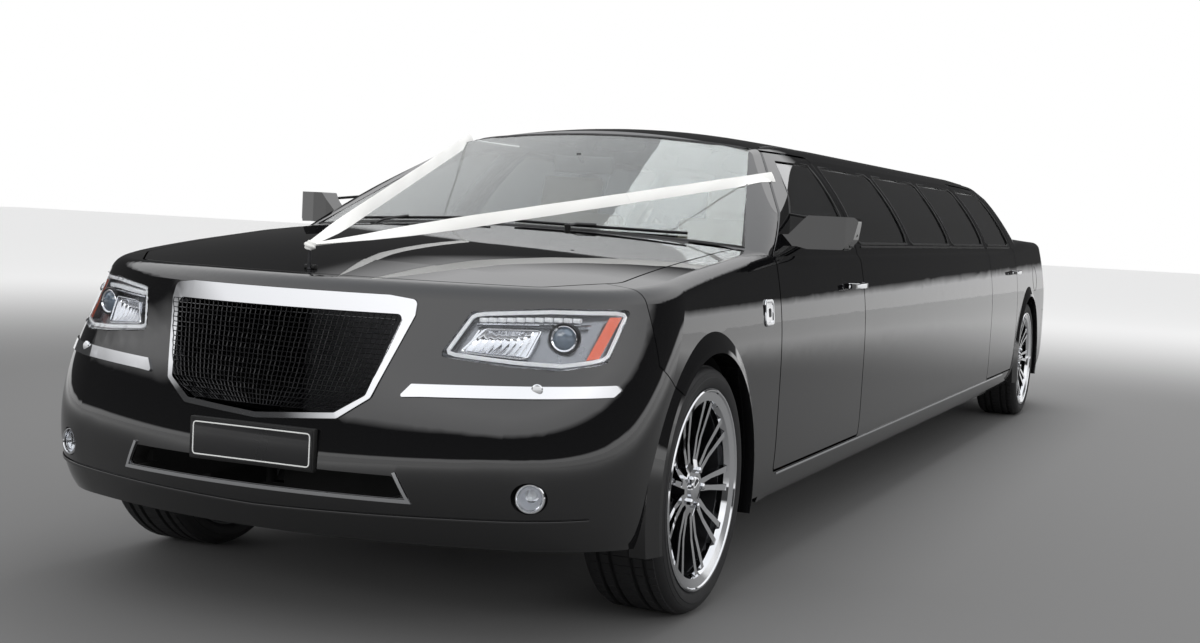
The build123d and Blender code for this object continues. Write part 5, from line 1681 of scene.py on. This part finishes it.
@dataclass
class Studio:
    """Pale floor, soft lights and a surround that shines in the paint.

    Args:
        reach: half size of the floor in metres.
        fade: distances from the car between which the floor turns pale, in metres.
        tones: the floor's grey round the car and far away.
        overhead: power of the overhead light in watts.
        side: power of the side lights in watts.
        ambient: strength of the surround as a light.
        shine: strength of the surround in shiny surfaces.
        sky: tones of the surround by the sine of the height above the horizon.
    """

    reach: float = 60.0
    fade: Pair = (4.5, 15.0)
    tones: Pair = (0.17, 0.95)
    overhead: float = 420.0
    side: float = 160.0
    ambient: float = 0.85
    shine: float = 1.25
    sky: tuple[Pair, ...] = ((0.02, 0.80), (0.035, 0.05), (0.30, 0.04), (0.36, 0.80), (0.55, 1.0))

    def build(self) -> None:
        """Makes the floor, the lights and the world."""
        self._floor()
        self._world()
        self._area("overhead", (0.0, 3.2, 6.5), (0.0, 0.0, 0.0), (4.0, 9.0), self.overhead)
        self._area("near_side", (8.0, -4.0, 3.2), (radians(68), 0.0, radians(62)), (9.0, 2.2), self.side)
        self._area("front", (-3.0, -11.0, 3.4), (radians(70), 0.0, radians(-14)), (7.0, 2.2), self.side)

    def _floor(self) -> None:
        """Makes the floor with its own finish."""
        Bench.clear()
        bpy.ops.mesh.primitive_plane_add(size=2 * self.reach, location=(0.0, 0.0, 0.0))
        floor = Bench.start("floor")
        material = bpy.data.materials.new("floor_finish")
        tree = Tree.of(material)
        shader = tree.fill(tree.nodes["Principled BSDF"], {"Roughness": 0.75, "Specular IOR Level": 0.2})
        length = tree.add("VectorMath")
        length.operation = "LENGTH"
        fade = tree.add("MapRange", From_Min=self.fade[0], From_Max=self.fade[1], To_Min=self.tones[0],
                        To_Max=self.tones[1])
        fade.interpolation_type = "SMOOTHSTEP"
        tree.join(tree.add("TexCoord").outputs["Object"], length.inputs[0])
        tree.join(length.outputs["Value"], fade.inputs["Value"])
        tree.join(fade.outputs["Result"], shader.inputs["Base Color"])
        floor.data.materials.append(material)

    def _area(self, name: str, place: Triple, turn: Triple, size: Pair, power: float) -> None:
        """Adds one soft rectangular light.

        Args:
            name: name of the light.
            place: position in metres.
            turn: rotation in radians.
            size: width and height in metres.
            power: power in watts.
        """
        data = bpy.data.lights.new(name, "AREA")
        data.shape = "RECTANGLE"
        data.size, data.size_y = size
        data.energy = power
        light = bpy.data.objects.new(name, data)
        light.location = place
        light.rotation_euler = turn
        light.visible_glossy = False
        bpy.context.scene.collection.objects.link(light)

    def _world(self) -> None:
        """Makes the surround: white to the camera, a pale sky over a dark skyline to shiny surfaces."""
        world = bpy.data.worlds.new("surround")
        bpy.context.scene.world = world
        tree = Tree.of(world)
        white = (1.0, 1.0, 1.0, 1.0)
        soft = tree.fill(tree.nodes["Background"], {"Color": white, "Strength": self.ambient})
        rays = tree.add("LightPath").outputs
        split = tree.add("SeparateXYZ")
        tree.join(tree.add("TexCoord").outputs["Generated"], split.inputs["Vector"])
        ramp = tree.add("ValToRGB")
        tree.join(split.outputs["Z"], ramp.inputs["Fac"])
        bands = ramp.color_ramp
        bands.elements[0].position, bands.elements[0].color = 0.0, (0.80, 0.80, 0.80, 1.0)
        bands.elements[1].position, bands.elements[1].color = 1.0, (0.80, 0.82, 0.85, 1.0)
        for spot, tone in self.sky:
            bands.elements.new(spot).color = (tone, tone, tone * 1.01, 1.0)
        gradient = tree.add("MixRGB", Color2=white)
        tree.join(ramp.outputs["Color"], gradient.inputs["Color1"])
        tree.join(rays["Is Camera Ray"], gradient.inputs["Fac"])
        level = tree.add("MapRange", To_Min=1.0, To_Max=self.shine)
        tree.join(rays["Is Glossy Ray"], level.inputs["Value"])
        shown = tree.add("Background")
        tree.join(gradient.outputs["Color"], shown.inputs["Color"])
        tree.join(level.outputs["Result"], shown.inputs["Strength"])
        direct = rays["Is Transmission Ray"]
        for kind in ("Is Camera Ray", "Is Glossy Ray"):
            larger = tree.add("Math")
            larger.operation = "MAXIMUM"
            tree.join(direct, larger.inputs[0])
            tree.join(rays[kind], larger.inputs[1])
            direct = larger.outputs["Value"]
        mix = tree.add("MixShader")
        tree.join(direct, mix.inputs["Fac"])
        tree.join(soft.outputs["Background"], mix.inputs[1])
        tree.join(shown.outputs["Background"], mix.inputs[2])
        tree.join(mix.outputs["Shader"], tree.nodes["World Output"].inputs["Surface"])


def finish_nodes() -> None:
    """Gives every carried-over node the finish of its slot in the record."""
    slots = {row["node"]: row["material_slot"] for row in frame["record"]["subparts"]}
    for name, node in frame["nodes"].items():
        material = SLOT_FINISHES[slots[name]].build()
        if not node.material_slots:
            node.data.materials.append(material)
        for held in node.material_slots:
            held.material = material
    LOG.info("finishes: %d nodes", len(frame["nodes"]))


def clear_defaults() -> None:
    """Takes away the objects of the program's start-up scene."""
    for name in ("Cube", "Light", "Camera"):
        held = bpy.data.objects.get(name)
        if held:
            bpy.data.objects.remove(held)


def main() -> None:
    """Builds the scene in order."""
    logging.basicConfig(level=logging.INFO, format="%(message)s")
    clear_defaults()
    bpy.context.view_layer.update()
    Viewpoint().build()
    finish_nodes()
    for assembly in (Headlamps, NoseTrim, Tyres, WheelTrim, Ribbons, Glazing, SideTrim, Tail, Cabin):
        LOG.info("building %s", assembly.__name__)
        assembly().build()
    Studio().build()
    bpy.context.scene.view_settings.view_transform = "Standard"


if __name__ == "__main__":
    main()
